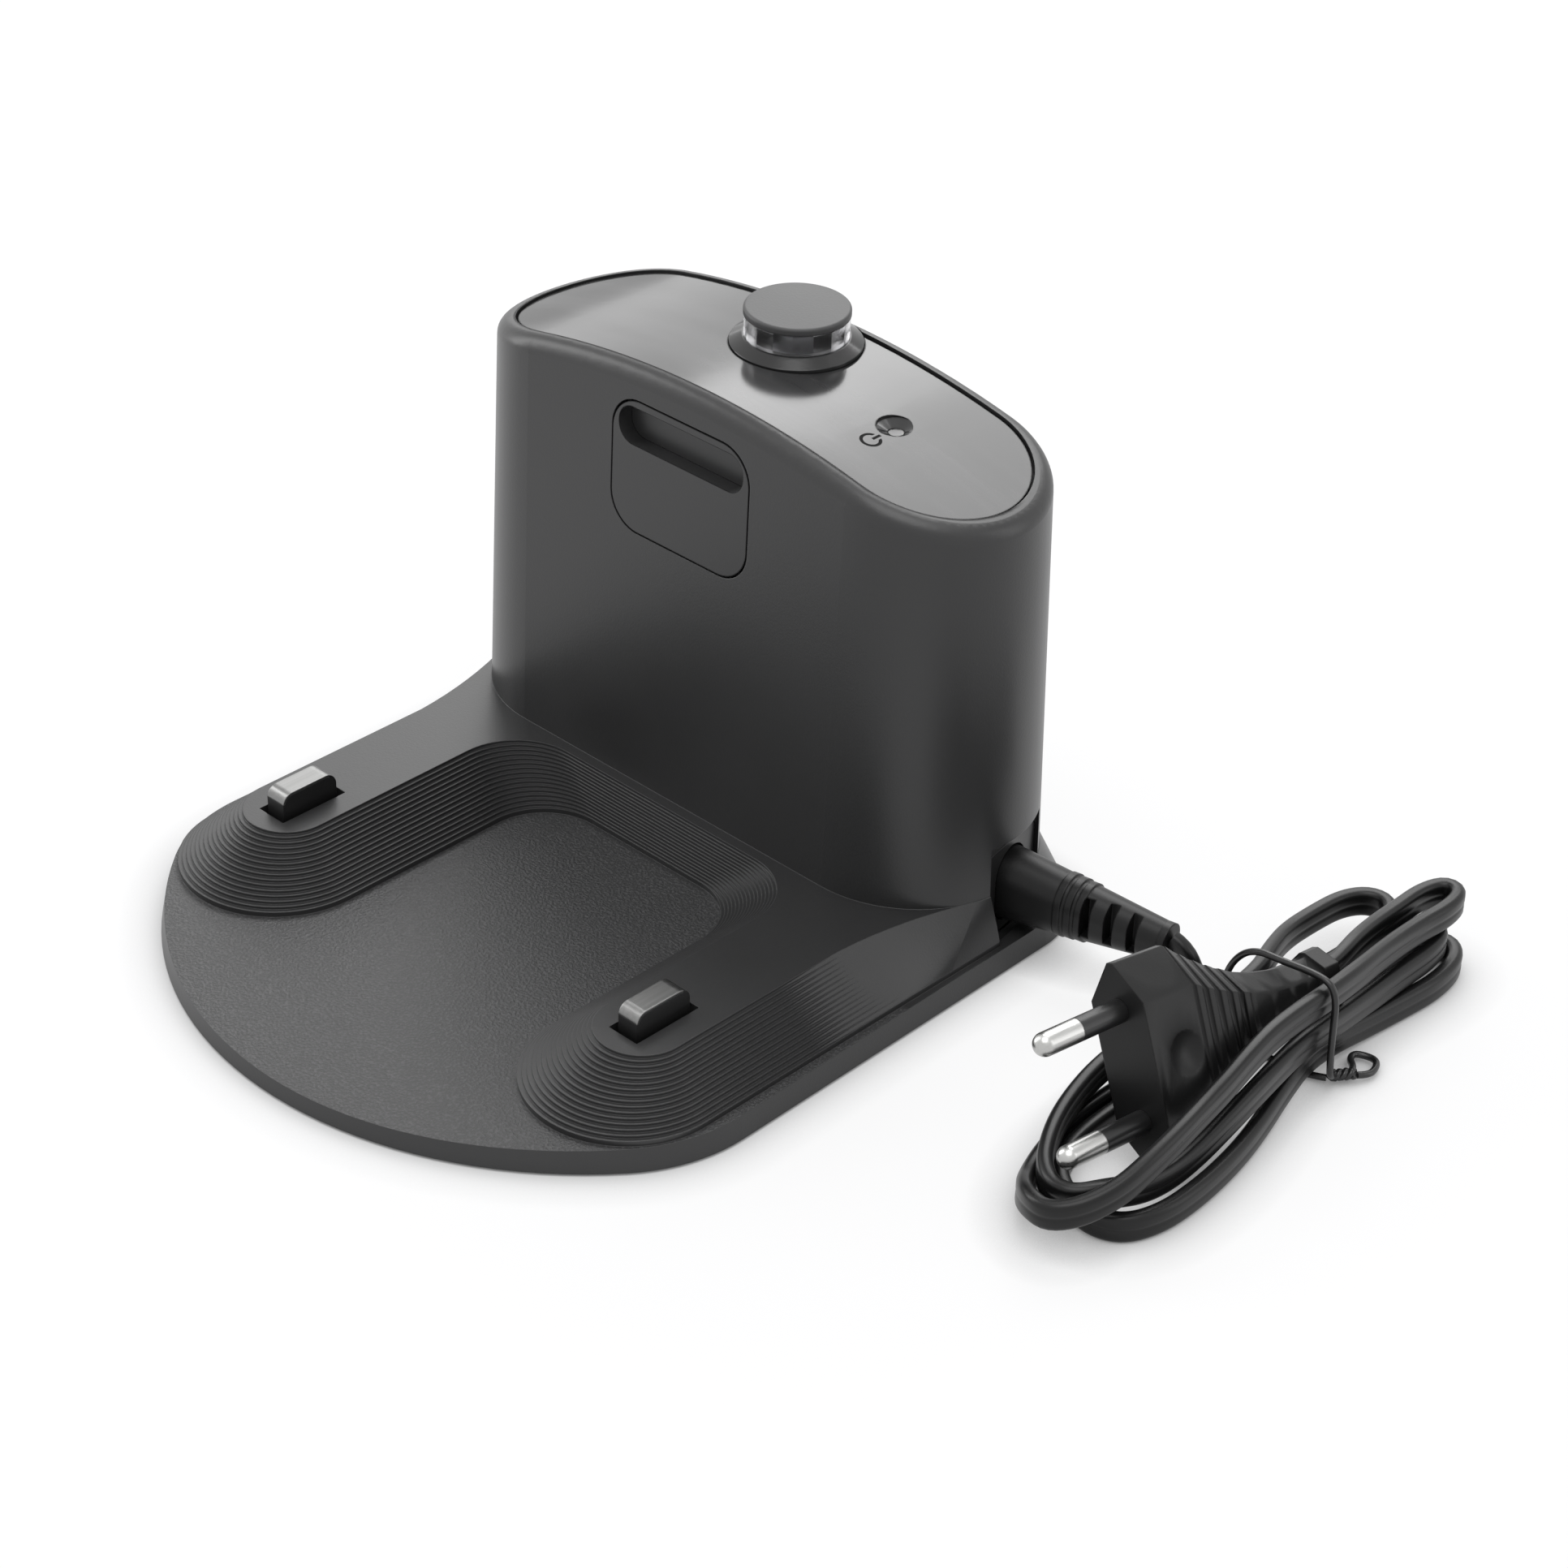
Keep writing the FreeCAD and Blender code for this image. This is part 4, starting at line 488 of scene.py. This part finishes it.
TWIST_RADIUS, TWIST_TURNS, TWIST_STEPS = 0.55, 2.0, 8


def twisted(phase):
    along = TWIST_END - TWIST_START
    side_way = along.cross(Vector((0, 0, 1))).normalized()
    up_way = side_way.cross(along).normalized()
    count = int(TWIST_TURNS * TWIST_STEPS)
    strand = []
    for step in range(count + 1):
        turn = phase + 2 * math.pi * TWIST_TURNS * step / count
        reach = side_way * math.cos(turn) + up_way * math.sin(turn)
        strand.append(tuple(TWIST_START + along * (step / count) + reach * TWIST_RADIUS))
    return strand


strands = [twisted(phase) for phase in (0.0, math.pi)]
tie_outline = []
for step in range(TIE_SIDES):
    turn = math.tau * step / TIE_SIDES
    tie_outline.append((TIE_RADIUS * math.cos(turn), TIE_RADIUS * math.sin(turn)))
print("the tie's lines have", len(tie_round), len(tie_loop), [len(strand) for strand in strands], "points")

# %% [markdown]
# The wire's coat is black and a little glossy. The four lines are swept with a round section and joined in one mesh.

# %% Make the tie
tie_vinyl = moulded("tie_vinyl", grey(0.008), grey(0.012), rough=0.3, grain_size=0.0004, grain_depth=0.000006,
                    edge=0.0)
tie_section = closed_section("tie_section", tie_outline)
wires = []
for name, points in (("round", tie_round), ("loop", tie_loop), ("one", strands[0]), ("two", strands[1])):
    line = smooth_line("tie_line_" + name, points)
    wires.append(swept("tie_" + name, line, tie_section, TIE_SPACING, tie_vinyl))
    taken_away(line)
taken_away(tie_section)


def as_object(name, shell):
    """Turns a bmesh into an object of its own."""
    mesh = bpy.data.meshes.new(name)
    shell.to_mesh(mesh)
    shell.free()
    return placed(name, mesh)


def joined(name, pieces):
    whole = bmesh.new()
    for piece in pieces:
        whole.from_mesh(piece.data)
    result = as_object(name, whole)
    result.data.materials.append(pieces[0].data.materials[0])
    taken_away(*pieces)
    return result


wire_tie = joined("wire_tie", wires)
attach(wire_tie, "dock")
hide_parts("cord_tie")
print("the tie has", len(wire_tie.data.polygons), "faces")

# %% [markdown]
# ## The plug
# The plug is moulded on the lead from the same kind of vinyl. Its neck narrows to the lead and has five ribs for the
# grip. In the solid each rib is a straight slab, whose rear edge stands off the narrowing neck. New ribs could be
# modelled over it, but moving those edges is less. A copy of the solid's mesh is merged first, so that its faces hang
# together, and turned upright into the plug's own axes.

# %% The plug in its own axes
PLUG_PLACE = Vector((109.6, 17.6, 18.5)) * MM
PLUG_TURNS = ((-3.5, "Z"), (-6.0, "X"), (-26.8, "Y"), (90.0, "X"))
MERGE_WITHIN = 0.001 * MM
plug_place = Matrix.Translation(PLUG_PLACE)
for angle, axis in PLUG_TURNS:
    plug_place = plug_place @ Matrix.Rotation(math.radians(angle), 4, axis)
solid_plug = bpy.data.objects["mains_plug"]
plug_shell = bmesh.new()
plug_shell.from_mesh(solid_plug.data)
bmesh.ops.remove_doubles(plug_shell, verts=plug_shell.verts, dist=MERGE_WITHIN)
plug_shell.transform(plug_place.inverted() @ solid_plug.matrix_world)
print("the plug's mesh has", len(plug_shell.verts), "points once merged")

# %% [markdown]
# The neck's half width falls with the square of the way along it. Each rib's rear edge is moved to the width that the
# neck has there, and so the ribs follow the curve. Then the copy goes back to the plug's place and takes its vinyl.

# %% Draw the ribs in
RIBS, RIB_WIDTH, RIB_PITCH = 5, 1.3, 2.75
RIB_PROUD_FRONT, RIB_PROUD_REAR = 0.2, 0.1
NECK_START, NECK_LENGTH, NECK_WIDE, NECK_NARROW = 11.5, 28.5, 32.9, 9.5
SAME_DEPTH, PLUG_SHARP = 0.02, math.radians(25)


def neck_reach(depth):
    share = (depth - NECK_START) / NECK_LENGTH
    return (NECK_NARROW + (NECK_WIDE - NECK_NARROW) * (1 - share) ** 2) / 2


def at_depth(vertex, depth):
    return abs(vertex.co.z / MM + depth) < SAME_DEPTH


drawn_in = 0
for rib in range(RIBS):
    front = NECK_START + RIB_WIDTH / 2 + rib * RIB_PITCH
    rear = front + RIB_WIDTH
    narrower = (neck_reach(rear) + RIB_PROUD_REAR) / (neck_reach(front) + RIB_PROUD_FRONT)
    for vertex in plug_shell.verts:
        if at_depth(vertex, rear) and any(at_depth(edge.other_vert(vertex), front) for edge in vertex.link_edges):
            vertex.co.y *= narrower
            drawn_in += 1
for face in plug_shell.faces:
    face.smooth = True
plug_shell.transform(plug_place)
ribbed_plug = as_object("ribbed_plug", plug_shell)
ribbed_plug.data.set_sharp_from_angle(angle=PLUG_SHARP)
cord_vinyl = moulded("cord_vinyl", grey(0.007), grey(0.011), rough=0.38, grain_size=0.0005, grain_depth=0.000012,
                     edge=0.0004, Specular_IOR_Level=0.26)
ribbed_plug.data.materials.append(cord_vinyl.material)
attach(ribbed_plug, "dock")
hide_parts("mains_plug")
print("drew in", drawn_in, "points of the ribs")

# %% [markdown]

# %% [markdown]
# ## The beacon's lens
# Under the beacon's cap sits a ring of clear plastic, nearly as wide as the cap. Its outer wall is smooth and round,
# and its bore has flat facets, which spread the light of the emitter all round. It could be cut out of a solid, but
# rings of points with faces between them make one closed shell, and inner walls would show through the plastic. The
# ring's place and width are read from the solids of the lens, the cap and the collar.

# %% Measure the lens
LENS_INSET = 0.15
lens_low, lens_high = (Vector(corner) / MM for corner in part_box("beacon_lens"))
cap_low, cap_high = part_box("beacon_cap")
lens_centre = (lens_low + lens_high) / 2
seat_radius = (lens_high.x - lens_low.x) / 2
lens_radius = (cap_high[0] - cap_low[0]) / MM / 2 - LENS_INSET
lens_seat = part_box("beacon_collar")[1][2] / MM
print("the lens is", round(2 * lens_radius, 2), "mm wide and sits", round(lens_seat, 2), "mm up")

# %% [markdown]
# The profile goes once round the ring's section, from the foot of the bore out, up and back in. Edges sharper than a
# set angle stay sharp in the shading, and the others are smooth.

# %% Build the faceted lens
LENS_FACETS, FACET_STEPS, LENS_SHARP = 14, 8, math.radians(20)
LENS_WALL, LENS_CHAMFER, LENS_DROP, LENS_LIFT = 1.6, 0.25, 0.3, 0.01
LENS_STEPS = LENS_FACETS * FACET_STEPS


def lens_ring(shell, radius, height, faceted):
    ring = []
    for step in range(LENS_STEPS):
        turn = math.tau * step / LENS_STEPS
        lean = math.tau * (step % FACET_STEPS - FACET_STEPS // 2) / LENS_STEPS
        reach = radius * math.cos(math.pi / LENS_FACETS) / math.cos(lean) if faceted else radius
        spot = Vector((lens_centre.x + reach * math.cos(turn), lens_centre.y + reach * math.sin(turn), height))
        ring.append(shell.verts.new(spot * MM))
    return ring


bore_radius, lens_foot = seat_radius - LENS_WALL, lens_seat + LENS_LIFT
lens_profile = [(bore_radius, lens_foot, True), (seat_radius, lens_foot, False),
                (lens_radius, lens_seat - LENS_DROP, False), (lens_radius, lens_high.z - LENS_CHAMFER, False),
                (lens_radius - LENS_CHAMFER, lens_high.z, False), (bore_radius, lens_high.z, True)]
lens_shell = bmesh.new()
rings = [lens_ring(lens_shell, *row) for row in lens_profile]
for lower, higher in zip(rings, rings[1:] + rings[:1]):
    for here in range(LENS_STEPS):
        there = (here + 1) % LENS_STEPS
        lens_shell.faces.new((lower[here], lower[there], higher[there], higher[here])).smooth = True
faceted_lens = as_object("faceted_lens", lens_shell)
faceted_lens.data.set_sharp_from_angle(angle=LENS_SHARP)
outward(faceted_lens)
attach(faceted_lens, "dock")
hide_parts("beacon_lens")
print("the lens has", LENS_FACETS, "facets and", len(faceted_lens.data.polygons), "faces")

# %% [markdown]
# ## Clear plastic
# The lens and the light pipe are clear. Transmission is the same all over, so it is set on the shader itself, and
# only the tint and the roughness drift, as they do on a moulded lens. A perfectly clear lens would vanish here.

# %% Clear plastic
CLEAR_ROUGH, CLEAR_SWING = 0.14, 0.12
clear_plastic = Finish("clear_plastic", Transmission_Weight=1.0, IOR=1.49)
clear_plastic.feed("Base Color", clear_plastic.place.noise(200.0).tint(grey(0.62), grey(0.72)))
clear_plastic.feed("Roughness", clear_plastic.place.noise(300.0) * CLEAR_SWING + CLEAR_ROUGH)
faceted_lens.data.materials.append(clear_plastic.material)
print("clear plastic on", faceted_lens.name)

# %% [markdown]
# ## The housing's plastic
# The housing is moulded in dark grey plastic with a fine satin grain. The floor of the wheel bay and the ramp in
# front of it have a coarser grain that stops at the ribs, with a painted sparkle: glints painted into its colour. Two
# materials on two sets of faces would do, but a mask from the height and the place of a point needs no change of the
# solid. A second mask picks the front of the tower's rim.

# %% Masks on the housing
BAY_TOP, BAY_BACK = 5.2 * MM, 18.0 * MM
RIM_FOOT, RIM_BACK = 82.0 * MM, 50.0 * MM
LEVEL = 0.85
housing_plastic = Finish("housing_plastic", Specular_IOR_Level=0.5)
place = housing_plastic.place
along, high = place.axes()[1:]
flat = place.node("ShaderNodeNewGeometry", {}, {}, "Normal")
upward = flat.axes()[2].above(LEVEL, soft=0.1)
bay = high.below(BAY_TOP, soft=0.3 * MM).both(along.below(BAY_BACK, soft=1.0 * MM)).both(upward)
front_rim = along.below(RIM_BACK, soft=4.0 * MM).both(high.above(RIM_FOOT, soft=0.5 * MM)).both(upward)
print("the coarse grain ends", round(BAY_TOP / MM, 1), "mm up, and the rim starts", round(RIM_FOOT / MM, 1), "mm up")

# %% [markdown]
# One noise is the fine grain and another the coarse one, and the mask of the bay chooses between them. The coarse
# one also paints glints into the bay's colour over a paler tone, a painted sparkle. Every edge is painted paler, a
# painted highlight along crests and corners. The joint to the glossy panel lies in shade: at the front, where the rim
# hides it, a dull line is mixed in.

# %% Housing plastic
FINE_SCALE, COARSE_SCALE = 2600.0, 1950.0
FINE_HEIGHT, COARSE_HEIGHT, GRAIN_DEPTH = 0.2, 2.5, 0.00008
SATIN_ROUGH, SATIN_SWING, BAY_ROUGHER = 0.32, 0.08, 0.1
EDGE_HIGHLIGHT_GAIN, EDGE_HIGHLIGHT_SHARE = 2.2, 0.35
GLINT_START, GLINT_GAIN, GLINT_SHARE, BAY_PALER = 0.5, 6.0, 0.2, 0.06
EDGE_RADIUS, RIM_RADIUS = 0.2 * MM, 1.0 * MM
SEAM_START, SEAM_GAIN = 0.015, 16.0
drift = place.noise(30.0, detail=3.0)
fine = place.noise(FINE_SCALE)
coarse = place.noise(COARSE_SCALE, detail=3.0)
# Painted highlight: all edges, convex and concave, are painted paler in the colour.
edge_highlight = housing_plastic.edges(EDGE_RADIUS).rising(0.0, EDGE_HIGHLIGHT_GAIN) * EDGE_HIGHLIGHT_SHARE
# Painted glints: the coarse grain's sparkle is painted into the bay's colour, over a paler tone.
bay_tone_and_glints = bay * (coarse.rising(GLINT_START, GLINT_GAIN) * GLINT_SHARE + BAY_PALER)
base = drift.tint(grey(0.020), grey(0.027))
base = edge_highlight.over(base, grey(0.07))
base = bay_tone_and_glints.over(base, grey(0.16))
housing_plastic.feed("Base Color", base)
housing_plastic.feed("Roughness", drift * SATIN_SWING + SATIN_ROUGH + bay * BAY_ROUGHER)
height = fine * (1.0 - bay) * FINE_HEIGHT + coarse * bay * COARSE_HEIGHT
housing_plastic.grain(height, GRAIN_DEPTH, EDGE_RADIUS)
rim_line = housing_plastic.edges(RIM_RADIUS).rising(SEAM_START, SEAM_GAIN)
housing_plastic.dulled(rim_line.both(front_rim))
print("housing plastic has", len(housing_plastic.material.node_tree.nodes), "nodes")

# %% [markdown]
# ## The glossy panel and its symbol
# The panel in the tower's top is polished, so it mirrors the sky, and wiping has left faint streaks in its gloss. By
# the status light stands the common standby symbol, a broken ring with a bar. It is printed, so it needs no
# geometry: its shape is worked out from the distance to its middle.

# %% The symbol
SYMBOL_X, SYMBOL_Y, SYMBOL_RADIUS, SYMBOL_LINE = 29.6 * MM, 39.4 * MM, 1.6 * MM, 0.3 * MM
GAP_HALF, BAR_MIDDLE, BAR_HALF = 0.75 * MM, 1.35 * MM, 0.95 * MM
SOFT = 0.06 * MM
gloss_panel = Finish("gloss_panel", Specular_IOR_Level=0.48)
place = gloss_panel.place
across, along = place.axes()[:2]
east, north = across - SYMBOL_X, along - SYMBOL_Y
squared = east * east + north * north
from_middle = squared.math("SQRT", squared)
ring = abs(from_middle - SYMBOL_RADIUS).below(SYMBOL_LINE, SOFT)
gap = abs(east).below(GAP_HALF, SOFT).both(north.above(0.0, SOFT))
bar = abs(east).below(SYMBOL_LINE, SOFT).both(abs(north - BAR_MIDDLE).below(BAR_HALF, SOFT))
symbol = (ring * (1.0 - gap)).either(bar)
print("the symbol stands at", round(SYMBOL_X, 4), round(SYMBOL_Y, 4))

# %% [markdown]
# A dull black is mixed in on the symbol, and also along the panel's edge, where the joint to the housing reads as a
# thin dark line all round. The streaks are a noise that is stretched along the panel.

# %% Gloss panel
STREAK_SHAPE, STREAK_ROUGH, SMUDGE_ROUGH, POLISH = (14.0, 90.0, 14.0), 0.12, 0.08, 0.04
HAZE_START, HAZE_GAIN = 0.45, 4.0
RIPPLE, PANEL_DEPTH, SEAM_RADIUS = 0.2, 0.00006, 0.5 * MM
streaks = place.stretched(STREAK_SHAPE).noise(1.0, detail=4.0)
smudge = place.noise(55.0, detail=4.0)
haze = streaks.rising(HAZE_START, HAZE_GAIN)
gloss_panel.feed("Base Color", haze.tint(grey(0.014), grey(0.045)))
gloss_panel.feed("Roughness", streaks * STREAK_ROUGH + smudge * SMUDGE_ROUGH + POLISH)
gloss_panel.grain(place.noise(160.0) * RIPPLE + symbol, PANEL_DEPTH, EDGE_RADIUS)
seam = gloss_panel.edges(SEAM_RADIUS).rising(SEAM_START, SEAM_GAIN)
gloss_panel.dulled(symbol.either(seam))
print("gloss panel has", len(gloss_panel.material.node_tree.nodes), "nodes")

# %% [markdown]
# ## Metal
# The contact strips and the plug's pins are bright nickel over brass, drawn and wiped lengthways. An anisotropic
# shader could show that, but a roughness streaked along Y is enough at this size. Screws and springs are zinc plated
# steel, and the terminals are bare brass.

# %% Metal finishes
METAL_SWING, METAL_DEPTH, METAL_EDGE = 0.16, 0.0000012, 0.0003
NICKEL_STREAK, STEEL_STREAK, BRASS_STREAK = (2200.0, 60.0, 2200.0), (900.0, 900.0, 400.0), (800.0, 800.0, 800.0)


def metal(name, dark, pale, rough, streak):
    finish = Finish(name, Metallic=1.0)
    drawn = finish.place.stretched(streak).noise(1.0, detail=3.0)
    finish.feed("Base Color", drawn.tint(dark, pale))
    finish.feed("Roughness", drawn * METAL_SWING + (rough - METAL_SWING / 2))
    finish.grain(drawn, METAL_DEPTH, METAL_EDGE)
    return finish


contact_metal = metal("contact_metal", (0.44, 0.44, 0.43), (0.54, 0.54, 0.53), rough=0.3, streak=NICKEL_STREAK)
# Painted shade: the strips are a darker copy of the same nickel, so that they mirror the bright panels less.
shaded_strip_metal = metal("shaded_strip_metal", (0.19, 0.19, 0.187), (0.27, 0.27, 0.266), rough=0.32, streak=NICKEL_STREAK)
screw_steel = metal("screw_steel", (0.45, 0.45, 0.46), (0.60, 0.60, 0.61), rough=0.34, streak=STEEL_STREAK)
brass = metal("brass", (0.62, 0.47, 0.24), (0.74, 0.58, 0.32), rough=0.3, streak=BRASS_STREAK)
print("metals:", [finish.material.name for finish in (contact_metal, shaded_strip_metal, screw_steel, brass)])

# %% [markdown]
# ## The smaller finishes
# The inlet, the contacts' sliders and the sleeves on the pins are a hard smooth black. The beacon's cap is matt and
# its collar polished. The window has a dark joint round it, from its edges. The feet are matt rubber, and the parts
# on the boards inside have the finishes that such parts have. All are moulded finishes, so one table holds them.

# %% Smaller finishes
JOINT_RADIUS, JOINT_START, JOINT_GAIN = 0.3 * MM, 0.02, 12.0
# dark, pale, roughness, then grain size, grain depth and softened edge in metres
smaller_rows = {
    "inlet_plastic": (grey(0.009), grey(0.014), 0.34, 0.0004, 0.00001, 0.0002),
    "window_plastic": (grey(0.020), grey(0.027), 0.36, 0.0004, 0.00001, 0.0003),
    "collar_plastic": (grey(0.010), grey(0.016), 0.14, 0.0008, 0.000006, 0.0002),
    "cap_plastic": (grey(0.038), grey(0.048), 0.5, 0.0004, 0.00002, 0.0003),
    "emitter_resin": (grey(0.40), grey(0.52), 0.12, 0.0008, 0.000004, 0.0),
    "foot_rubber": (grey(0.022), grey(0.035), 0.8, 0.0005, 0.00003, 0.0003),
    "board_laminate": ((0.02, 0.09, 0.04), (0.05, 0.16, 0.08), 0.35, 0.0009, 0.00003, 0.0),
    "transformer_core": (grey(0.05), grey(0.09), 0.6, 0.0007, 0.00004, 0.0003),
    "capacitor_can": ((0.02, 0.025, 0.05), (0.04, 0.045, 0.08), 0.3, 0.001, 0.00001, 0.0003),
}
smaller = {name: moulded(name, *row) for name, row in smaller_rows.items()}
window_plastic = smaller["window_plastic"]
window_plastic.dulled(window_plastic.edges(JOINT_RADIUS).rising(JOINT_START, JOINT_GAIN))
print("finishes so far:", len(bpy.data.materials))

# %% [markdown]
# ## Dressing the solids
# Each node of the record names a material slot. The finish of that slot goes on the node's own object, and a few get
# a finish of their own: the cap, the collar and the window come from other moulds, and the contact strips get a darker
# copy of the nickel, painted shade.

# %% Give every node its finish
slot_finishes = {"housing_plastic": housing_plastic, "gloss_panel": gloss_panel, "clear_plastic": clear_plastic,
                 "screw_steel": screw_steel, "contact_metal": contact_metal, "brass": brass,
                 "cord_vinyl": cord_vinyl, "tie_vinyl": tie_vinyl, **smaller}
own_finishes = {"beacon_cap": smaller["cap_plastic"], "beacon_collar": smaller["collar_plastic"],
                "emitter_window": window_plastic,
                "contact_strip_left": shaded_strip_metal, "contact_strip_right": shaded_strip_metal}
for piece in frame["record"]["subparts"]:
    node = piece["node"]
    finish = own_finishes.get(node, slot_finishes[piece["material_slot"]])
    for material_slot in bpy.data.objects[node].material_slots:
        material_slot.material = finish.material

# %% [markdown]
# ## The springs under the contacts
# A robot presses each contact down by up to 3 mm, and the coil spring under it shortens between its seat and the
# slider. Each spring's box is measured here, and it gets a mesh of its own.

# %% Measure the springs and give each its own mesh
for hand in ("left", "right"):
    spring = bpy.data.objects["contact_spring_" + hand]
    seat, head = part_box(spring.name)
    tall = head[2] - seat[2]
    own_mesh(spring)

# %% [markdown]
# ## Floor, light and background
# The dock stands on a plain pale floor. A floor could be lit until it is white, but then it would throw too much light
# back at the dock. So the camera, mirrors and clear plastic see a floor and a sky that glow by themselves, and all
# other rays meet a plain paper and a dimmer sky. Close to the dock the glow fades into a soft contact shadow.

# %% The floor
FLOOR_REACH, CONTACT_SHADE = 2.5, 9 * MM


def soft_background(tree, lit, shown):
    """One value for rays that show a surface, another for those that only light the dock."""
    path = tree.nodes.new("ShaderNodeLightPath")
    camera_ray, glossy_ray, clear_ray = (Flow(tree, path.outputs["Is " + kind + " Ray"])
                                         for kind in ("Camera", "Glossy", "Transmission"))
    return camera_ray.either(glossy_ray).either(clear_ray) * (shown - lit) + lit


corners = [(FLOOR_REACH * x, FLOOR_REACH * y, 0) for x, y in ((-1, -1), (1, -1), (1, 1), (-1, 1))]
floor_mesh = bpy.data.meshes.new("floor")
floor_mesh.from_pydata(corners, [], [(0, 1, 2, 3)])
floor = placed("floor", floor_mesh)
floor_paper = Finish("floor_paper", Roughness=0.9, Specular_IOR_Level=0.0)
paper = floor_paper.place
floor_paper.feed("Base Color", paper.noise(6.0).tint(grey(0.80), grey(0.82)))
contact = paper.node("ShaderNodeAmbientOcclusion", {"samples": 8}, {"Distance": CONTACT_SHADE}, "AO")
glow = paper.node("ShaderNodeEmission", {}, {"Strength": contact})
floor_paper.covered(soft_background(floor_paper.material.node_tree, lit=0.0, shown=0.8), glow)
floor_mesh.materials.append(floor_paper.material)
print("the floor is", 2 * FLOOR_REACH, "m wide")

# %% [markdown]
# Two large panels stand behind the dock, and the glossy top mirrors them. One hangs overhead, and two tall ones at
# the sides draw the bright lines down the tower's ends. Point lamps would draw hard shadows and small dots. The panels
# are area lamps, so their shadows are soft and their reflections have the shape of a real light box.

# %% Light and background
TOWER_TOP, BAY_MIDDLE = (0.0, 0.046, 0.09), (0.03, 0.0, 0.0)
# place and aim in metres, then width, height and power
light_panels = {
    "back_high": ((-0.38, 0.80, 0.98), TOWER_TOP, 0.8, 0.8, 8.0),
    "back_low": ((-0.85, 0.84, 0.58), TOWER_TOP, 0.8, 0.7, 2.3),
    "left_panel": ((-0.95, -0.35, 0.45), TOWER_TOP, 0.35, 1.1, 5.0),
    "right_panel": ((0.95, 0.65, 0.35), TOWER_TOP, 0.35, 1.0, 1.5),
    "overhead": ((0.25, -0.25, 1.3), BAY_MIDDLE, 1.0, 1.0, 8.0),
}
for name, (stand, aim, wide, tall, power) in light_panels.items():
    panel = bpy.data.lights.new(name, "AREA")
    panel.shape = "RECTANGLE"
    panel.size, panel.size_y, panel.energy = wide, tall, power
    lamp = placed(name, panel)
    lamp.location = stand
    lamp.rotation_euler = (Vector(aim) - Vector(stand)).to_track_quat("-Z", "Y").to_euler()
world = bpy.data.worlds.new("studio")
world.use_nodes = True
bpy.context.scene.world = world
sky = world.node_tree.nodes["Background"]
sky_strength = soft_background(world.node_tree, lit=0.5, shown=1.0)
world.node_tree.links.new(sky_strength.socket, sky.inputs["Strength"])
sky.inputs["Color"].default_value = (1.0, 1.0, 1.0, 1.0)
bpy.context.scene.view_settings.view_transform = "Standard"
print("lamps:", list(light_panels))

# %% [markdown] ## The end
# The dressed model has to stay in the box of the solids.
